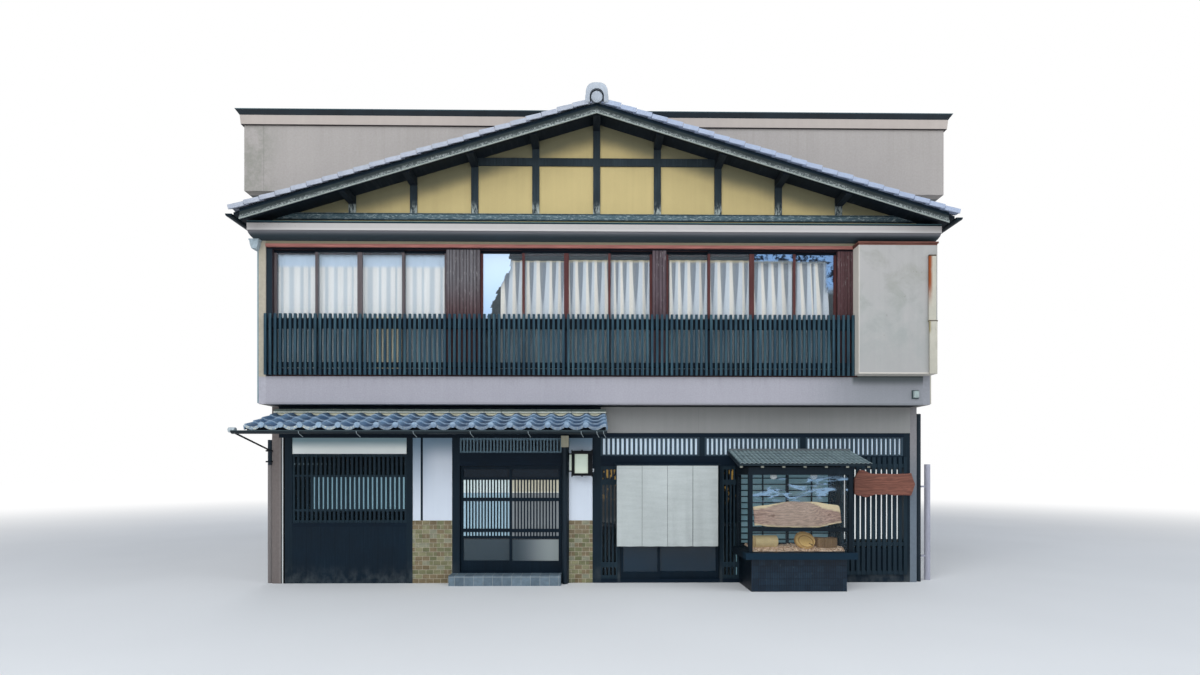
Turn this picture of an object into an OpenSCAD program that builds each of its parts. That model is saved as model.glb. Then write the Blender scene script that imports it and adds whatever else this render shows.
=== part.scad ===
// Two-storey machiya townhouse: timber shop front, overhanging upper storey, front gable
// on a flat-roofed rear block. Origin at the centre of the ground-floor plan, on the ground.
// The street front faces -Y.

/* [House] */
// Width over the outer faces of the side walls
house_w = 10520; // [10300:20:10900]
// Depth of the ground floor, front wall face to back wall face
house_d = 9100; // [7000:100:12000]
// Thickness of the outer walls
wall_t = 110; // [90:5:130]
// Height of the ground floor, ground to the soffit of the overhang
gf_h = 2868; // [2820:2:3100]
// Thickness of the ground-floor slab
slab_t = 50; // [30:5:80]
// Thickness of the upper floor
floor_t = 200; // [120:10:300]
// Overhang of the upper storey in front of the ground-floor wall
overhang = 365; // [250:5:500]
// Gap between pieces that rest on each other
seat = 0.3; // [0.2:0.1:0.5]

/* [Upper storey] */
// Height of the mortar band below the upper windows
band_h = 432; // [380:2:500]
// Thickness of the upper front wall
front_t = 120; // [110:5:160]
// Height of the upper window sill
sill_h = 45; // [30:5:60]
// Height of the upper sashes
sash_h = 1945; // [1600:5:2200]
// Height of the dark window head
head_h = 25; // [20:1:50]
// Height of the red strip above the window head
strip_h = 47; // [30:1:70]
// Set-back of the window frame from the upper wall face
frame_back = 20; // [10:1:30]
// Width of the left window jamb
jamb_w = 90; // [70:5:120]
// Width of the shutter box
box_w = 1220; // [1160:5:1280]
// Width of the board panel after the first group
panel_a_w = 530; // [450:5:570]
// Width of the board panel after the second group
panel_b_w = 221; // [150:1:230]
// Width of the board panel after the third group
panel_c_w = 316; // [250:1:330]
// Width of a board in the panels
board_w = 105; // [80:5:140]
// Width of a sash stile
stile_w = 38; // [30:1:50]
// Height of a sash bottom rail
sash_rail = 60; // [40:5:80]
// Thickness of a sash
sash_t = 28; // [24:1:32]
// Clearance between the two sash tracks
track_gap = 6; // [5:1:8]
// Thickness of window glass
glass_t = 4; // [3:1:6]

/* [Railing and shutter box] */
// Height of the railing
rail_h = 948; // [800:2:1100]
// Centre distance of the railing bars
rail_pitch = 76.7; // [70:0.1:90]
// Width of a railing bar
rail_bar = 38; // [30:1:45]
// Depth of a railing bar
rail_bar_t = 30; // [20:1:35]
// Front of the railing before the upper wall face
rail_out = 65; // [55:1:90]
// Projection of the shutter box
box_out = 190; // [150:5:240]
// Reach of the shutter box over the last board panel
box_lap = 77; // [40:1:120]
// Height of the cap on the shutter box
box_cap = 25; // [20:1:40]

/* [Cornice] */
// Height of the wall strip between the red strip and the cornice
frieze_h = 45; // [30:1:100]
// Projection of the cornice
cornice_out = 240; // [180:5:300]
// Rise of the cove under the cornice
cove_h = 69; // [50:1:100]
// Height of the cornice fascia
fascia_h = 137; // [110:1:170]
// Reach of the cornice past the side walls
cornice_side = 38; // [0:1:60]
// Height from the cornice top to the foot of the gable wall
gable_foot = 79; // [60:1:110]

/* [Gable] */
// Slope of the gable roof, rise over run
slope = 0.304; // [0.27:0.001:0.33]
// Thickness of the roof deck
deck_t = 40; // [30:1:60]
// Projection of the bargeboards before the upper wall
verge_out = 450; // [350:10:550]
// Height of a bargeboard
barge_h = 156; // [130:1:190]
// Thickness of a bargeboard
barge_t = 45; // [30:1:60]
// Eave reach of the gable roof past the side walls
eave_side = 130; // [100:5:180]
// Centre distance of the gable posts, as a share of the clear front
gable_post_share = 0.0923; // [0.088:0.0001:0.097]
// Width of a gable post
gable_post_w = 110; // [80:1:130]
// Number of gable posts on each side of the middle one
side_posts = 4; // [3:1:4]
// Height of the gable's base beam
base_beam_h = 110; // [80:1:140]
// Height of the horizontal gable rail
gable_rail_h = 120; // [90:1:140]
// Height of the gable rail above the foot of the gable wall
gable_rail_up = 898; // [800:1:950]
// Projection of the gable timbers before the plaster
timber_out = 25; // [15:1:35]
// Width of the arched ridge-end tile
ornament_w = 350; // [280:5:400]
// Height of the arched ridge-end tile
ornament_h = 250; // [220:5:300]
// Radius of the disc on the ridge-end tile
disc_r = 87; // [60:1:100]
// Centre of that disc below the ornament's foot
disc_drop = 38; // [0:1:45]

/* [Rear block] */
// Set-back of the rear block behind the upper front wall
rear_back = 450; // [420:10:600]
// Underside of the flat roof below the gable's ridge
attic_drop = 893; // [880:1:930]
// Thickness of the flat roof
roof_t = 150; // [120:10:200]
// Reach of the parapet box past the side walls
parapet_side = 500; // [420:10:560]
// Thickness of the parapet walls
parapet_t = 150; // [110:5:180]
// Height of the parapet walls above the flat roof's underside
parapet_h = 1069; // [1000:1:1080]
// Height of the parapet band
cap_band_h = 145; // [120:1:190]
// Projection of the parapet band
cap_band_out = 47; // [30:1:60]
// Height of the parapet cap
cap_h = 75; // [60:1:110]
// Projection of the parapet cap past the band
cap_out = 53; // [30:1:80]

/* [Tiles] */
// Width of one tile column
tile_w = 281; // [240:1:300]
// Exposed length of one tile course
tile_run = 236; // [200:1:260]
// Lap of a course over the next one
tile_lap = 50; // [30:1:60]
// Thickness of a tile
tile_t = 18; // [14:1:22]
// Height of the wave of a tile
wave_h = 46; // [30:1:60]
// Drop of the verge tile's flap
flap_h = 62; // [50:1:80]
// Radius of an eave disc
eave_disc_r = 44; // [35:1:50]

/* [Canopy] */
// Projection of the canopy before the ground-floor wall
canopy_out = 906; // [800:2:1000]
// Slope of the canopy
canopy_slope = 0.29; // [0.25:0.01:0.3]
// Canopy deck's eave below the upper floor
canopy_drop = 428; // [418:1:450]
// Reach of the canopy past the middle post
canopy_right = 70; // [40:5:140]
// Distance of the canopy's left end from the house corner
canopy_left = 130; // [110:5:160]
// Thickness of the canopy deck
canopy_deck = 24; // [18:1:30]
// Centre distance of the canopy rafters
rafter_pitch = 455; // [400:5:500]
// Width of a rafter
rafter_w = 45; // [35:1:60]
// Height of a rafter
rafter_h = 60; // [45:1:70]
// Radius of the gutters
gutter_r = 50; // [40:1:60]
// Radius of the downpipes
pipe_r = 45; // [35:1:48]
// Distance of the low right pipe beside the tall one
low_pipe_out = 240; // [150:10:300]
// Top of the upper downpipes below the eave
pipe_drop = 200; // [150:10:300]
// Width of the rain box over the middle downpipe
rain_box = 120; // [110:2:140]
// Height of that rain box
rain_box_h = 180; // [140:5:200]
// Foot of that rain box below the dark beam
box_drop = 150; // [120:5:180]

/* [Ground-floor front, left to right] */
// Width of the left corner post
left_post_w = 214; // [160:1:230]
// Lattice bay, as a share of the clear front
bay_share = 0.1794; // [0.165:0.0001:0.1806]
// Width of the post after the lattice bay
bay_post_w = 98; // [80:1:120]
// Plaster strip left of the side doors, as a share of the clear front
strip_share = 0.0622; // [0.05:0.0001:0.064]
// Width of the post left of the side doors
door_post_w = 122; // [100:1:140]
// Side door opening, as a share of the clear front
side_door_share = 0.1608; // [0.146:0.0001:0.163]
// Plaster strip behind the lantern, as a share of the clear front
lantern_share = 0.0373; // [0.032:0.0001:0.039]
// Width of the middle post
mid_post_w = 135; // [110:1:150]
// Lattice beside the entrance, as a share of the clear front
wing_share = 0.0265; // [0.0215:0.0001:0.027]
// Width of the entrance door jambs
entry_jamb_w = 47; // [40:1:60]
// Entrance door opening, as a share of the clear front
entry_share = 0.1578; // [0.146:0.0001:0.159]
// Wall behind the show window, as a share of the clear front
shop_back_share = 0.1568; // [0.152:0.0001:0.16]
// Width of the right corner post
right_post_w = 103; // [80:1:120]
// Depth of the ground-floor posts
post_d = 110; // [110:1:130]

/* [Ground-floor heights] */
// Height of the dark beam behind the canopy
beam_h = 505; // [490:1:520]
// Height of the grey plaster band
grey_band_h = 422; // [390:1:428]
// Height of the rail under the grey band
top_rail_h = 66; // [50:1:76]
// Height of the transom windows over the entrance
transom_h = 309; // [290:1:320]
// Height of the entrance lintel
lintel_h = 163; // [150:1:220]
// Top of the tiled dado
dado_z = 1019; // [900:1:1100]
// Top of the lower boards of the lattice bay
boards_z = 921; // [850:1:950]
// Height of the sill rail of the lattice bay
bay_rail_h = 57; // [40:1:70]
// Plaster over the bay lattice
bay_plaster_h = 259; // [240:1:280]
// Height of the step at the side doors
step_h = 163; // [120:1:180]
// Projection of the step before the wall
step_out = 240; // [180:5:300]
// Height of the side doors' head rail
side_head_h = 212; // [190:1:230]

/* [Lattices] */
// Centre distance of the bay lattice bars
bay_pitch = 73.7; // [65:0.1:85]
// Width of a bay lattice bar
bay_bar = 36; // [28:1:42]
// Centre distance of the fine lattice bars
fine_pitch = 55; // [48:1:65]
// Width of a fine lattice bar
fine_bar = 26; // [20:1:30]
// Centre distance of the right lattice bars
right_pitch = 85; // [75:1:95]
// Width of a right lattice bar
right_bar = 55; // [45:1:60]
// Height of a right lattice rail
right_rail_h = 60; // [40:5:80]
// Height of the two inner rails of the bay lattice
bay_cross_h = 35; // [25:1:45]
// Level of the lower inner rail above the bay's sill
bay_cross_a = 190; // [150:5:250]
// Level of the upper inner rail above the bay's sill
bay_cross_b = 750; // [700:5:770]
// Level of the lower cross rail of the wing lattices
wing_cross_z = 250; // [200:5:320]
// Drop of the upper cross rail of the wing lattices below the door head
wing_cross_drop = 308; // [260:2:360]
// Height of the cross rails of the wing lattices
wing_cross_h = 85; // [60:5:100]
// Depth of the lattice bars
bar_t = 30; // [24:1:36]
// Depth of the lattice rails
lat_rail_t = 16; // [12:1:20]

/* [Sliding doors] */
// Thickness of a door leaf
leaf_t = 30; // [26:1:32]
// Gap between the two door tracks
leaf_gap = 10; // [8:1:12]
// Clearance of a leaf at the jambs and the head
leaf_clear = 5; // [5:0.5:8]
// Height of the sill rail that carries the leaves
track_h = 12; // [8:1:16]
// Lap of the side door leaves
side_lap = 45; // [40:1:60]
// Width of the left entrance leaf
entry_leaf_a_w = 645; // [600:5:720]
// Lap of the entrance leaves
entry_lap = 60; // [50:1:80]
// Width of a door stile
door_stile = 42; // [35:1:50]
// Top of the side doors' bottom rail
side_kick_z = 355; // [330:5:400]
// Level of the side doors' lattice foot
side_foot_z = 741; // [700:1:780]
// Underside of the side doors' lower cross rail
side_cross_a = 825; // [800:1:860]
// Underside of the side doors' upper cross rail
side_cross_b = 1332; // [1200:1:1345]
// Height of the side doors' cross rails
side_cross_h = 55; // [40:1:60]
// Glass and top rail over the side doors' lattice
side_top_h = 203; // [160:1:240]
// Number of bars in a side door lattice
side_bars = 14; // [12:1:15]
// Width of a bar in the side door lattice
side_bar = 22; // [18:1:26]
// Top of the entrance doors' bottom rail
entry_kick_z = 170; // [120:5:200]
// Underside of the entrance doors' middle rail
entry_cross_z = 1010; // [900:5:1050]
// Height of the entrance doors' middle rail
entry_cross_h = 40; // [30:1:60]

/* [Door curtain] */
// Height of the door curtain
noren_h = 1300; // [1100:1:1400]
// Reach of the door curtain past each side of the opening
noren_reach = 3; // [0:1:15]
// Shift of the door curtain to the left of the opening's middle
noren_shift = 61; // [0:1:70]
// Gap between two panels of the door curtain
noren_gap = 4; // [2:1:8]
// Thickness of the door curtain's space
noren_t = 20; // [12:1:30]
// Distance of the curtain rod before the wall
rod_out = 150; // [120:5:200]
// Radius of the curtain rod
rod_r = 14; // [10:1:18]

/* [Show window] */
// Left side of the show window base, past the right wing lattice
shop_gap = 0; // [0:1:20]
// Width of the show window base
shop_w = 1450; // [1380:5:1500]
// Projection of the show window
shop_out = 752; // [650:2:800]
// Height of the show window base
shop_base_h = 500; // [450:1:550]
// Height of the sill board
shop_sill_h = 100; // [70:1:110]
// Side overhang of the sill board
shop_sill_side = 115; // [80:1:118]
// Front overhang of the sill board
shop_sill_out = 78; // [50:1:90]
// Top of the show window's beam below the door heads
shop_top_drop = 23; // [15:1:60]
// Height of the show window's top beam
shop_beam_h = 120; // [90:1:122]
// Overhang of the left posts past the show window base
shop_post_l = 52; // [40:1:60]
// Overhang of the right posts past the show window base
shop_post_r = 71; // [60:1:80]
// Centre distance of the back grid's cross bars
shop_grid_row = 104; // [95:1:120]
// Number of panes across the back grid
shop_grid_cols = 4; // [3:1:5]
// Width of a back grid bar
shop_grid_bar = 18; // [14:1:24]
// Width of the back grid's rim and middle stile
shop_grid_rim = 45; // [35:1:50]
// Width of a show window post
shop_post = 60; // [50:1:70]
// Slope of the show window roof
shop_slope = 0.3; // [0.25:0.01:0.32]
// Side overhang of the show window roof
shop_roof_side = 215; // [160:5:220]
// Front overhang of the show window roof
shop_roof_out = 58; // [40:1:80]
// Thickness of the show window roof boards
shop_roof_t = 24; // [18:1:30]
// Centre distance of the show window rafters
shop_rafter_pitch = 317; // [280:1:350]
// Height of the rail across the show window glass
shop_rail_h = 60; // [30:1:80]
// Height of that rail above the sill board
shop_rail_up = 310; // [290:1:330]

/* [Show window goods] */
// Radius of the log in the show window
log_r = 95; // [70:1:110]
// Length of that log
log_l = 385; // [300:5:420]
// Left end of that log past the left post
log_x = 117; // [80:1:140]
// Radius of the round slice in the show window
slice_r = 150; // [110:1:160]
// Thickness of that slice
slice_t = 70; // [40:1:90]
// Centre of that slice past the left post
slice_x = 937; // [850:1:940]
// Width of the wood block in the show window
block_w = 300; // [200:5:320]
// Height of that block
block_h = 150; // [100:5:180]
// Left side of that block past the left post
block_x = 1092; // [1090:1:1130]
// Length of the plank in the show window
plank_l = 1330; // [1100:5:1380]
// Height of that plank
plank_h = 400; // [300:5:430]
// Lean of the slice from its foot to its head
slice_lean = 30; // [10:1:40]
// Depth of the wood chip bed
bed_h = 45; // [30:1:60]
// Gap at each end of the bed
bed_gap = 20; // [10:1:60]
// Gap of the bed behind the glass
bed_front = 90; // [40:1:120]
// Gap of the bed before the wall
bed_back = 160; // [80:1:240]
// Distance of the log and the slice behind the glass
goods_in = 220; // [200:1:260]
// Distance of the plank behind the window's front
plank_in = 56; // [50:1:70]
// Thickness of the plank
plank_t = 32; // [20:1:40]
// Distance of the plank's middle left of the window's middle
plank_left = 30; // [0:1:40]
// Play of the plank's live edge
plank_wave = 10; // [4:1:14]

/* [Lantern and back windows] */
// Width of the lantern
lantern_w = 310; // [260:1:330]
// Height of the lantern
lantern_h = 390; // [340:1:420]
// Depth of the lantern
lantern_d = 190; // [150:1:220]
// Foot of the lantern below the upper floor
lantern_drop = 1116; // [1060:1:1160]
// Width of a back window
back_win_w = 1100; // [900:10:1140]
// Height of a back window
back_win_h = 1000; // [800:10:1100]
// Sill height of a back window above its floor
back_sill = 900; // [800:10:1000]
// Number of back windows on a storey
back_count = 3; // [2:1:4]

/* [Hidden] */
$fn = 48;
eps = 1;

half_w = house_w / 2;
in_w = half_w - wall_t;
y_front = -house_d / 2;
y_back = house_d / 2;
front_w = 2 * in_w;
y_up = y_front - overhang;
y_rear = y_up + rear_back;
y_verge = y_up - verge_out;

sill_z = gf_h + band_h;
sash_z = sill_z + sill_h;
head_z = sash_z + sash_h;
strip_z = head_z + head_h;
lintel_z = strip_z + strip_h;
cornice_z = lintel_z + frieze_h;
cornice_top = cornice_z + cove_h + fascia_h;
gable_z = cornice_top + gable_foot;
under_ridge = gable_z + slope * in_w;
ridge_z = under_ridge + deck_t * sqrt(1 + slope * slope);
function under(x) = under_ridge - slope * abs(x);
function top(x) = ridge_z - slope * abs(x);
theta = atan(slope);
attic_z = ridge_z - attic_drop;

// Ground-floor heights
beam_z = gf_h - beam_h;
bay_top_z = beam_z - bay_plaster_h;
grey_band_z = gf_h - grey_band_h;
transom_top_z = grey_band_z - top_rail_h;
lintel_top_z = transom_top_z - transom_h;
door_head_z = lintel_top_z - lintel_h;
side_transom_z = door_head_z + side_head_h;
canopy_eave_z = gf_h - canopy_drop;
lantern_z = gf_h - lantern_drop;

// Sides of the upper window groups
xa0 = -in_w + jamb_w;
xd = half_w - box_w + box_lap;
group_w = (xd - xa0 - panel_a_w - panel_b_w - panel_c_w) / 3;
xa1 = xa0 + group_w;
xb0 = xa1 + panel_a_w;
xb1 = xb0 + group_w;
xc0 = xb1 + panel_b_w;
xc1 = xc0 + group_w;
groups = [xa0, xb0, xc0];
y_frame = y_up + frame_back;
y_sash_out = y_frame + 18;
y_sash_in = y_sash_out + sash_t + track_gap;
leaf_w_up = (group_w / 2 + stile_w) / 2;

// Ground-floor front, from left to right
bay_w = bay_share * front_w;
strip_w = strip_share * front_w;
side_door_w = side_door_share * front_w;
lantern_strip_w = lantern_share * front_w;
wing_w = wing_share * front_w;
entry_w = entry_share * front_w;
shop_back_w = shop_back_share * front_w;
x_bay0 = -in_w + left_post_w;
x_bay1 = x_bay0 + bay_w;
x_strip0 = x_bay1 + bay_post_w;
x_strip1 = x_strip0 + strip_w;
x_side0 = x_strip1 + door_post_w;
x_side1 = x_side0 + side_door_w;
x_lan0 = x_side1 + door_post_w;
x_lan1 = x_lan0 + lantern_strip_w;
x_mid = x_lan1 + mid_post_w;
x_wing = x_mid + wing_w;
x_entry0 = x_wing + entry_jamb_w;
x_entry1 = x_entry0 + entry_w;
x_wing2 = x_entry1 + entry_jamb_w;
x_shop0 = x_wing2 + wing_w;
x_shop1 = x_shop0 + shop_back_w;
x_right = in_w - right_post_w;
y_in = y_front + post_d;

module box(x0, x1, y0, y1, z0, z1) {
    translate([x0, y0, z0]) cube([x1 - x0, y1 - y0, z1 - z0]);
}

// Extrudes a shape drawn in X and Z along Y
module along_y(y0, y1) {
    translate([0, y1, 0]) rotate([90, 0, 0]) linear_extrude(y1 - y0) children();
}

// Extrudes a shape drawn in Y and Z along X
module along_x(x0, x1) {
    translate([x0, 0, 0]) rotate([90, 0, 90]) linear_extrude(x1 - x0) children();
}

module frame_2d(x0, x1, z0, z1, side, low, high) {
    difference() {
        translate([x0, z0]) square([x1 - x0, z1 - z0]);
        translate([x0 + side, z0 + low]) square([x1 - x0 - 2 * side, z1 - z0 - low - high]);
    }
}

// Upright bars with thinner rails let through them
module lattice(x0, x1, z0, z1, y0, pitch, bar, rails) {
    count = round((x1 - x0 - bar) / pitch);
    step = (x1 - x0 - bar) / count;
    union() {
        for (i = [0 : count]) box(x0 + i * step, x0 + i * step + bar, y0, y0 + bar_t, z0, z1);
        for (r = rails) {
            y_rail = y0 + (bar_t - lat_rail_t) / 2;
            box(x0 + eps, x1 - eps, y_rail, y_rail + lat_rail_t, r[0], r[1]);
        }
    }
}

// Floors and outer walls

module ground_floor() {
    color([0.52, 0.51, 0.49])
        box(-in_w, in_w, y_in, y_back - wall_t, 0, slab_t);
}

module side_wall(side) {
    x = side * half_w;
    box(min(x, x - side * wall_t), max(x, x - side * wall_t), y_front, y_back, 0, gf_h);
}

module side_wall_left() {
    color([0.72, 0.69, 0.65]) side_wall(-1);
}

module side_wall_right() {
    color([0.72, 0.69, 0.65]) side_wall(1);
}

function back_win_x(i) = (i - (back_count - 1) / 2) * (2 * in_w / back_count);
back_floors = [slab_t, gf_h + floor_t];

module back_wall() {
    color([0.70, 0.67, 0.64]) difference() {
        box(-in_w, in_w, y_back - wall_t, y_back, 0, attic_z);
        for (z = back_floors, i = [0 : back_count - 1]) {
            x = back_win_x(i) - back_win_w / 2;
            box(x, x + back_win_w, y_back - wall_t - eps, y_back + eps,
                z + back_sill, z + back_sill + back_win_h);
        }
    }
}

module upper_floor() {
    color([0.45, 0.36, 0.28])
        box(-in_w, in_w, y_up + front_t, y_back - wall_t, gf_h, gf_h + floor_t);
}

module upper_side_wall(x0) {
    z_front = under(half_w) - seat;
    along_x(x0, x0 + wall_t) polygon([[y_up, gf_h], [y_back, gf_h], [y_back, attic_z],
        [y_rear, attic_z], [y_rear, z_front], [y_up, z_front]]);
}

module upper_side_wall_left() {
    color([0.72, 0.69, 0.65]) upper_side_wall(-half_w);
}

module upper_side_wall_right() {
    color([0.72, 0.69, 0.65]) upper_side_wall(half_w - wall_t);
}

// Upper front

module upper_front_band() {
    color([0.66, 0.63, 0.63]) box(-in_w, in_w, y_up, y_up + front_t, gf_h, sill_z);
}

module upper_lintel() {
    color([0.80, 0.76, 0.70]) box(-in_w, in_w, y_up, y_up + front_t, lintel_z, gable_z);
}

module board_panel(x0, x1) {
    count = max(1, round((x1 - x0) / board_w));
    step = (x1 - x0) / count;
    groove = 6;
    difference() {
        box(x0, x1, y_frame, y_up + front_t, sash_z + seat, head_z - seat);
        if (count > 1)
            for (i = [1 : count - 1])
                box(x0 + i * step - groove / 2, x0 + i * step + groove / 2,
                    y_frame - eps, y_frame + groove, sash_z, head_z);
    }
}

curtain_rail_y = y_up + front_t + 30;
module window_frame() {
    color([0.37, 0.29, 0.28]) {
        box(-in_w, xd, y_frame, y_up + front_t, sill_z, sash_z);
        box(-in_w, xd, y_frame, y_up + front_t, head_z, strip_z);
        box(-in_w, xd, y_up, y_up + front_t, strip_z + seat, lintel_z);
        box(-in_w, xd - box_lap - box_lip - seat, y_up - 12, y_up + eps, strip_z + seat, lintel_z);
        box(-in_w, xa0, y_frame, y_up + front_t, sash_z + seat, head_z - seat);
        board_panel(xa1, xb0);
        board_panel(xb1, xc0);
        board_panel(xc1, xd);
        for (g = groups)
            box(g, g + group_w, y_up + front_t + seat, curtain_rail_y + 25, head_z - 40, head_z);
    }
}

// Left edge of sash k of a group: the outer pair and the middle pair share a track each
function sash_x(k) = k == 0 ? 0 : k == 1 ? group_w / 2 - leaf_w_up
    : k == 2 ? group_w / 2 : group_w - leaf_w_up;
function sash_y(k) = k == 0 || k == 3 ? y_sash_in : y_sash_out;

module sash(x0, x1, y0, z0, z1) {
    along_y(y0, y0 + sash_t)
        frame_2d(x0 + seat, x1 - seat, z0 + seat, z1 - seat, stile_w, sash_rail, stile_w);
}

module sash_pane(x0, x1, y0, z0, z1) {
    edge = 2 * seat;
    y = y0 + (sash_t - glass_t) / 2;
    box(x0 + stile_w + edge, x1 - stile_w - edge, y, y + glass_t,
        z0 + sash_rail + edge, z1 - stile_w - edge);
}

module back_openings(z) {
    for (i = [0 : back_count - 1]) {
        x = back_win_x(i) - back_win_w / 2;
        translate([x, y_back - wall_t / 2 - sash_t / 2, z + back_sill]) children();
    }
}

module window_sashes() {
    color([0.37, 0.29, 0.28]) {
        for (g = groups, k = [0 : 3])
            sash(g + sash_x(k), g + sash_x(k) + leaf_w_up, sash_y(k), sash_z, head_z);
        for (z = back_floors) back_openings(z) {
            for (s = [0, 1])
                sash(s * back_win_w / 2, (s + 1) * back_win_w / 2, 0, 0, back_win_h);
        }
    }
}

module upper_glass() {
    color([0.62, 0.68, 0.70, 0.4]) {
        for (g = groups, k = [0 : 3])
            sash_pane(g + sash_x(k), g + sash_x(k) + leaf_w_up, sash_y(k), sash_z, head_z);
        back_openings(back_floors[1])
            for (s = [0, 1])
                sash_pane(s * back_win_w / 2, (s + 1) * back_win_w / 2, 0, 0, back_win_h);
    }
}

module upper_curtains() {
    drop = sash_h - 90;
    open_left = 350;
    color([0.88, 0.87, 0.84])
        for (g = groups) {
            x0 = g == xb0 ? g + open_left : g + 20;
            box(x0, g + group_w - 20, curtain_rail_y - 25, curtain_rail_y + 25,
                head_z - 40 - seat - drop, head_z - 40 - seat);
        }
}

// Railing: bars stand before three rails and are let into them
module railing() {
    x0 = -in_w + 5;
    x1 = xd - box_lap - 5;
    bite = 6;
    count = round((x1 - x0 - rail_bar) / rail_pitch);
    step = (x1 - x0 - rail_bar) / count;
    y_bar = y_up - rail_out;
    rails = [[20, 112], [140, 215], [745, 895]];
    color([0.20, 0.27, 0.30]) union() {
        for (i = [0 : count])
            box(x0 + i * step, x0 + i * step + rail_bar, y_bar, y_bar + rail_bar_t,
                sill_z + 15, sill_z + 15 + rail_h);
        for (r = rails)
            box(x0 + eps, x1 - eps, y_bar + rail_bar_t - bite, y_frame - seat,
                sill_z + r[0], sill_z + r[1]);
    }
}

box_lip = 14;

module shutter_box() {
    x0 = xd - box_lap;
    z1 = lintel_z - box_cap;
    color([0.75, 0.72, 0.71]) union() {
        box(x0, half_w, y_up - box_out, y_up, sill_z + 27, z1);
        box(xd, in_w, y_up - eps, y_up + front_t, sill_z, lintel_z);
        box(x0 - box_lip, half_w + box_lip, y_up - box_out - box_lip, y_up, z1 - eps,
            z1 + box_cap);
    }
}

module cornice() {
    steps = 8;
    y0 = y_up - cornice_out;
    cove = [for (i = [0 : steps]) [y_up - (cornice_out - 18) * sin(90 * i / steps),
        cornice_z + cove_h * (1 - cos(90 * i / steps))]];
    color([0.80, 0.76, 0.74])
        along_x(-half_w - cornice_side, half_w + cornice_side)
            polygon(concat(cove, [[y0, cornice_z + cove_h], [y0, cornice_top],
                [y_up, cornice_top + 24]]));
}

// Gable

module gable_wall() {
    color([0.79, 0.72, 0.48]) along_y(y_up, y_up + front_t)
        polygon([[-in_w, gable_z], [in_w, gable_z], [0, under_ridge - seat]]);
}

post_pitch = gable_post_share * front_w;
post_x = [for (i = [-side_posts : side_posts]) i * post_pitch];

module gable_frame() {
    beam_z0 = gable_z + 38;
    reach = 2 * post_pitch;
    color([0.25, 0.27, 0.28]) along_y(y_up - timber_out, y_up) intersection() {
        polygon([[-in_w, gable_z], [in_w, gable_z], [0, under_ridge - seat]]);
        union() {
            translate([-in_w, beam_z0]) square([2 * in_w, base_beam_h]);
            for (x = post_x) translate([x - gable_post_w / 2, beam_z0])
                square([gable_post_w, under_ridge - beam_z0]);
            translate([-reach, gable_z + gable_rail_up]) square([2 * reach, gable_rail_h]);
        }
    }
}

// Lower edge trimmed with a thin projecting strip, as the real boards have
module barge_half() {
    drop = barge_h;
    end_x = half_w + 15;
    trim = 34;
    trim_out = 14;
    x0 = seat / 2;
    union() {
        along_y(y_verge, y_verge + barge_t)
            polygon([[x0, top(x0)], [end_x, top(end_x)], [end_x, top(end_x) - drop],
                [x0, top(x0) - drop]]);
        along_y(y_verge - trim_out, y_verge + eps)
            polygon([[x0, top(x0) - drop + trim], [end_x, top(end_x) - drop + trim],
                [end_x, top(end_x) - drop], [x0, top(x0) - drop]]);
    }
}

module bargeboards() {
    color([0.22, 0.24, 0.24]) {
        barge_half();
        mirror([1, 0, 0]) barge_half();
    }
}

module deck_half() {
    end_x = half_w + eave_side;
    x0 = seat / 2;
    along_y(y_verge + barge_t + seat, y_rear)
        polygon([[x0, top(x0)], [end_x, top(end_x)], [end_x, under(end_x)], [x0, under(x0)]]);
}

module gable_roof_deck() {
    purlin_h = 105;
    color([0.24, 0.25, 0.26]) {
        deck_half();
        mirror([1, 0, 0]) deck_half();
        for (x = post_x) {
            z1 = under(abs(x) + gable_post_w / 2) - seat;
            box(x - gable_post_w / 2, x + gable_post_w / 2, y_verge + barge_t + seat,
                y_up - timber_out - seat, z1 - purlin_h, z1);
        }
    }
}

// One tile course: a waved sheet drawn in Y and Z, run along X. A flap hangs at each end
// where flap is above zero.
seg = 6;
tile_crest = 0.62;
canopy_crest = 0.91;
flap_in = 14;
flap_bite = 8;
function wave(u, high, crest) = high * pow((1 + cos(360 * (u - crest))) / 2, 1.5);

module course(width, cols, run, thick, high, flap_a, flap_b, crest) {
    count = cols * seg;
    line = [for (i = [0 : count]) [i * width / count, wave(i / seg, high, crest)]];
    top_pts = [for (p = line) [p[0], p[1] + thick]];
    low_pts = [for (i = [count : -1 : 0]) line[i]];
    union() {
        rotate([90, 0, 90]) linear_extrude(run) polygon(concat(top_pts, low_pts));
        if (flap_a > 0)
            translate([flap_in, -thick, thick - flap_a])
                cube([run - flap_in, thick + flap_bite, flap_a]);
        if (flap_b > 0)
            translate([flap_in, width - flap_bite, thick - flap_b])
                cube([run - flap_in, thick + flap_bite, flap_b]);
    }
}

// Courses laid down a slope from the origin along +X, each over the next one
module tile_field(width, length, angle, want_w, want_run, thick, high, flap_a, flap_b,
        crest = tile_crest) {
    rows = round((length - tile_lap) / want_run);
    run = (length - tile_lap) / rows;
    cols = round(width / want_w);
    tilt = asin((thick + seat) / run);
    rotate([0, angle, 0])
        for (i = [0 : rows - 1])
            translate([i * run, 0, seat]) rotate([0, -tilt, 0])
                course(width, cols, run + tile_lap - seat, thick, high, flap_a, flap_b, crest);
}

module gable_tiles() {
    verge_lap = 30;
    x0 = 70;
    end_x = half_w + eave_side + 20;
    color([0.58, 0.62, 0.68])
        for (side = [0, 1]) mirror([side, 0, 0])
            translate([x0, y_verge - verge_lap, top(x0) + 2])
                tile_field(y_rear - y_verge + verge_lap - seat, (end_x - x0) / cos(theta), theta,
                    tile_w, tile_run, tile_t, wave_h, flap_h, 0);
}

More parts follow.
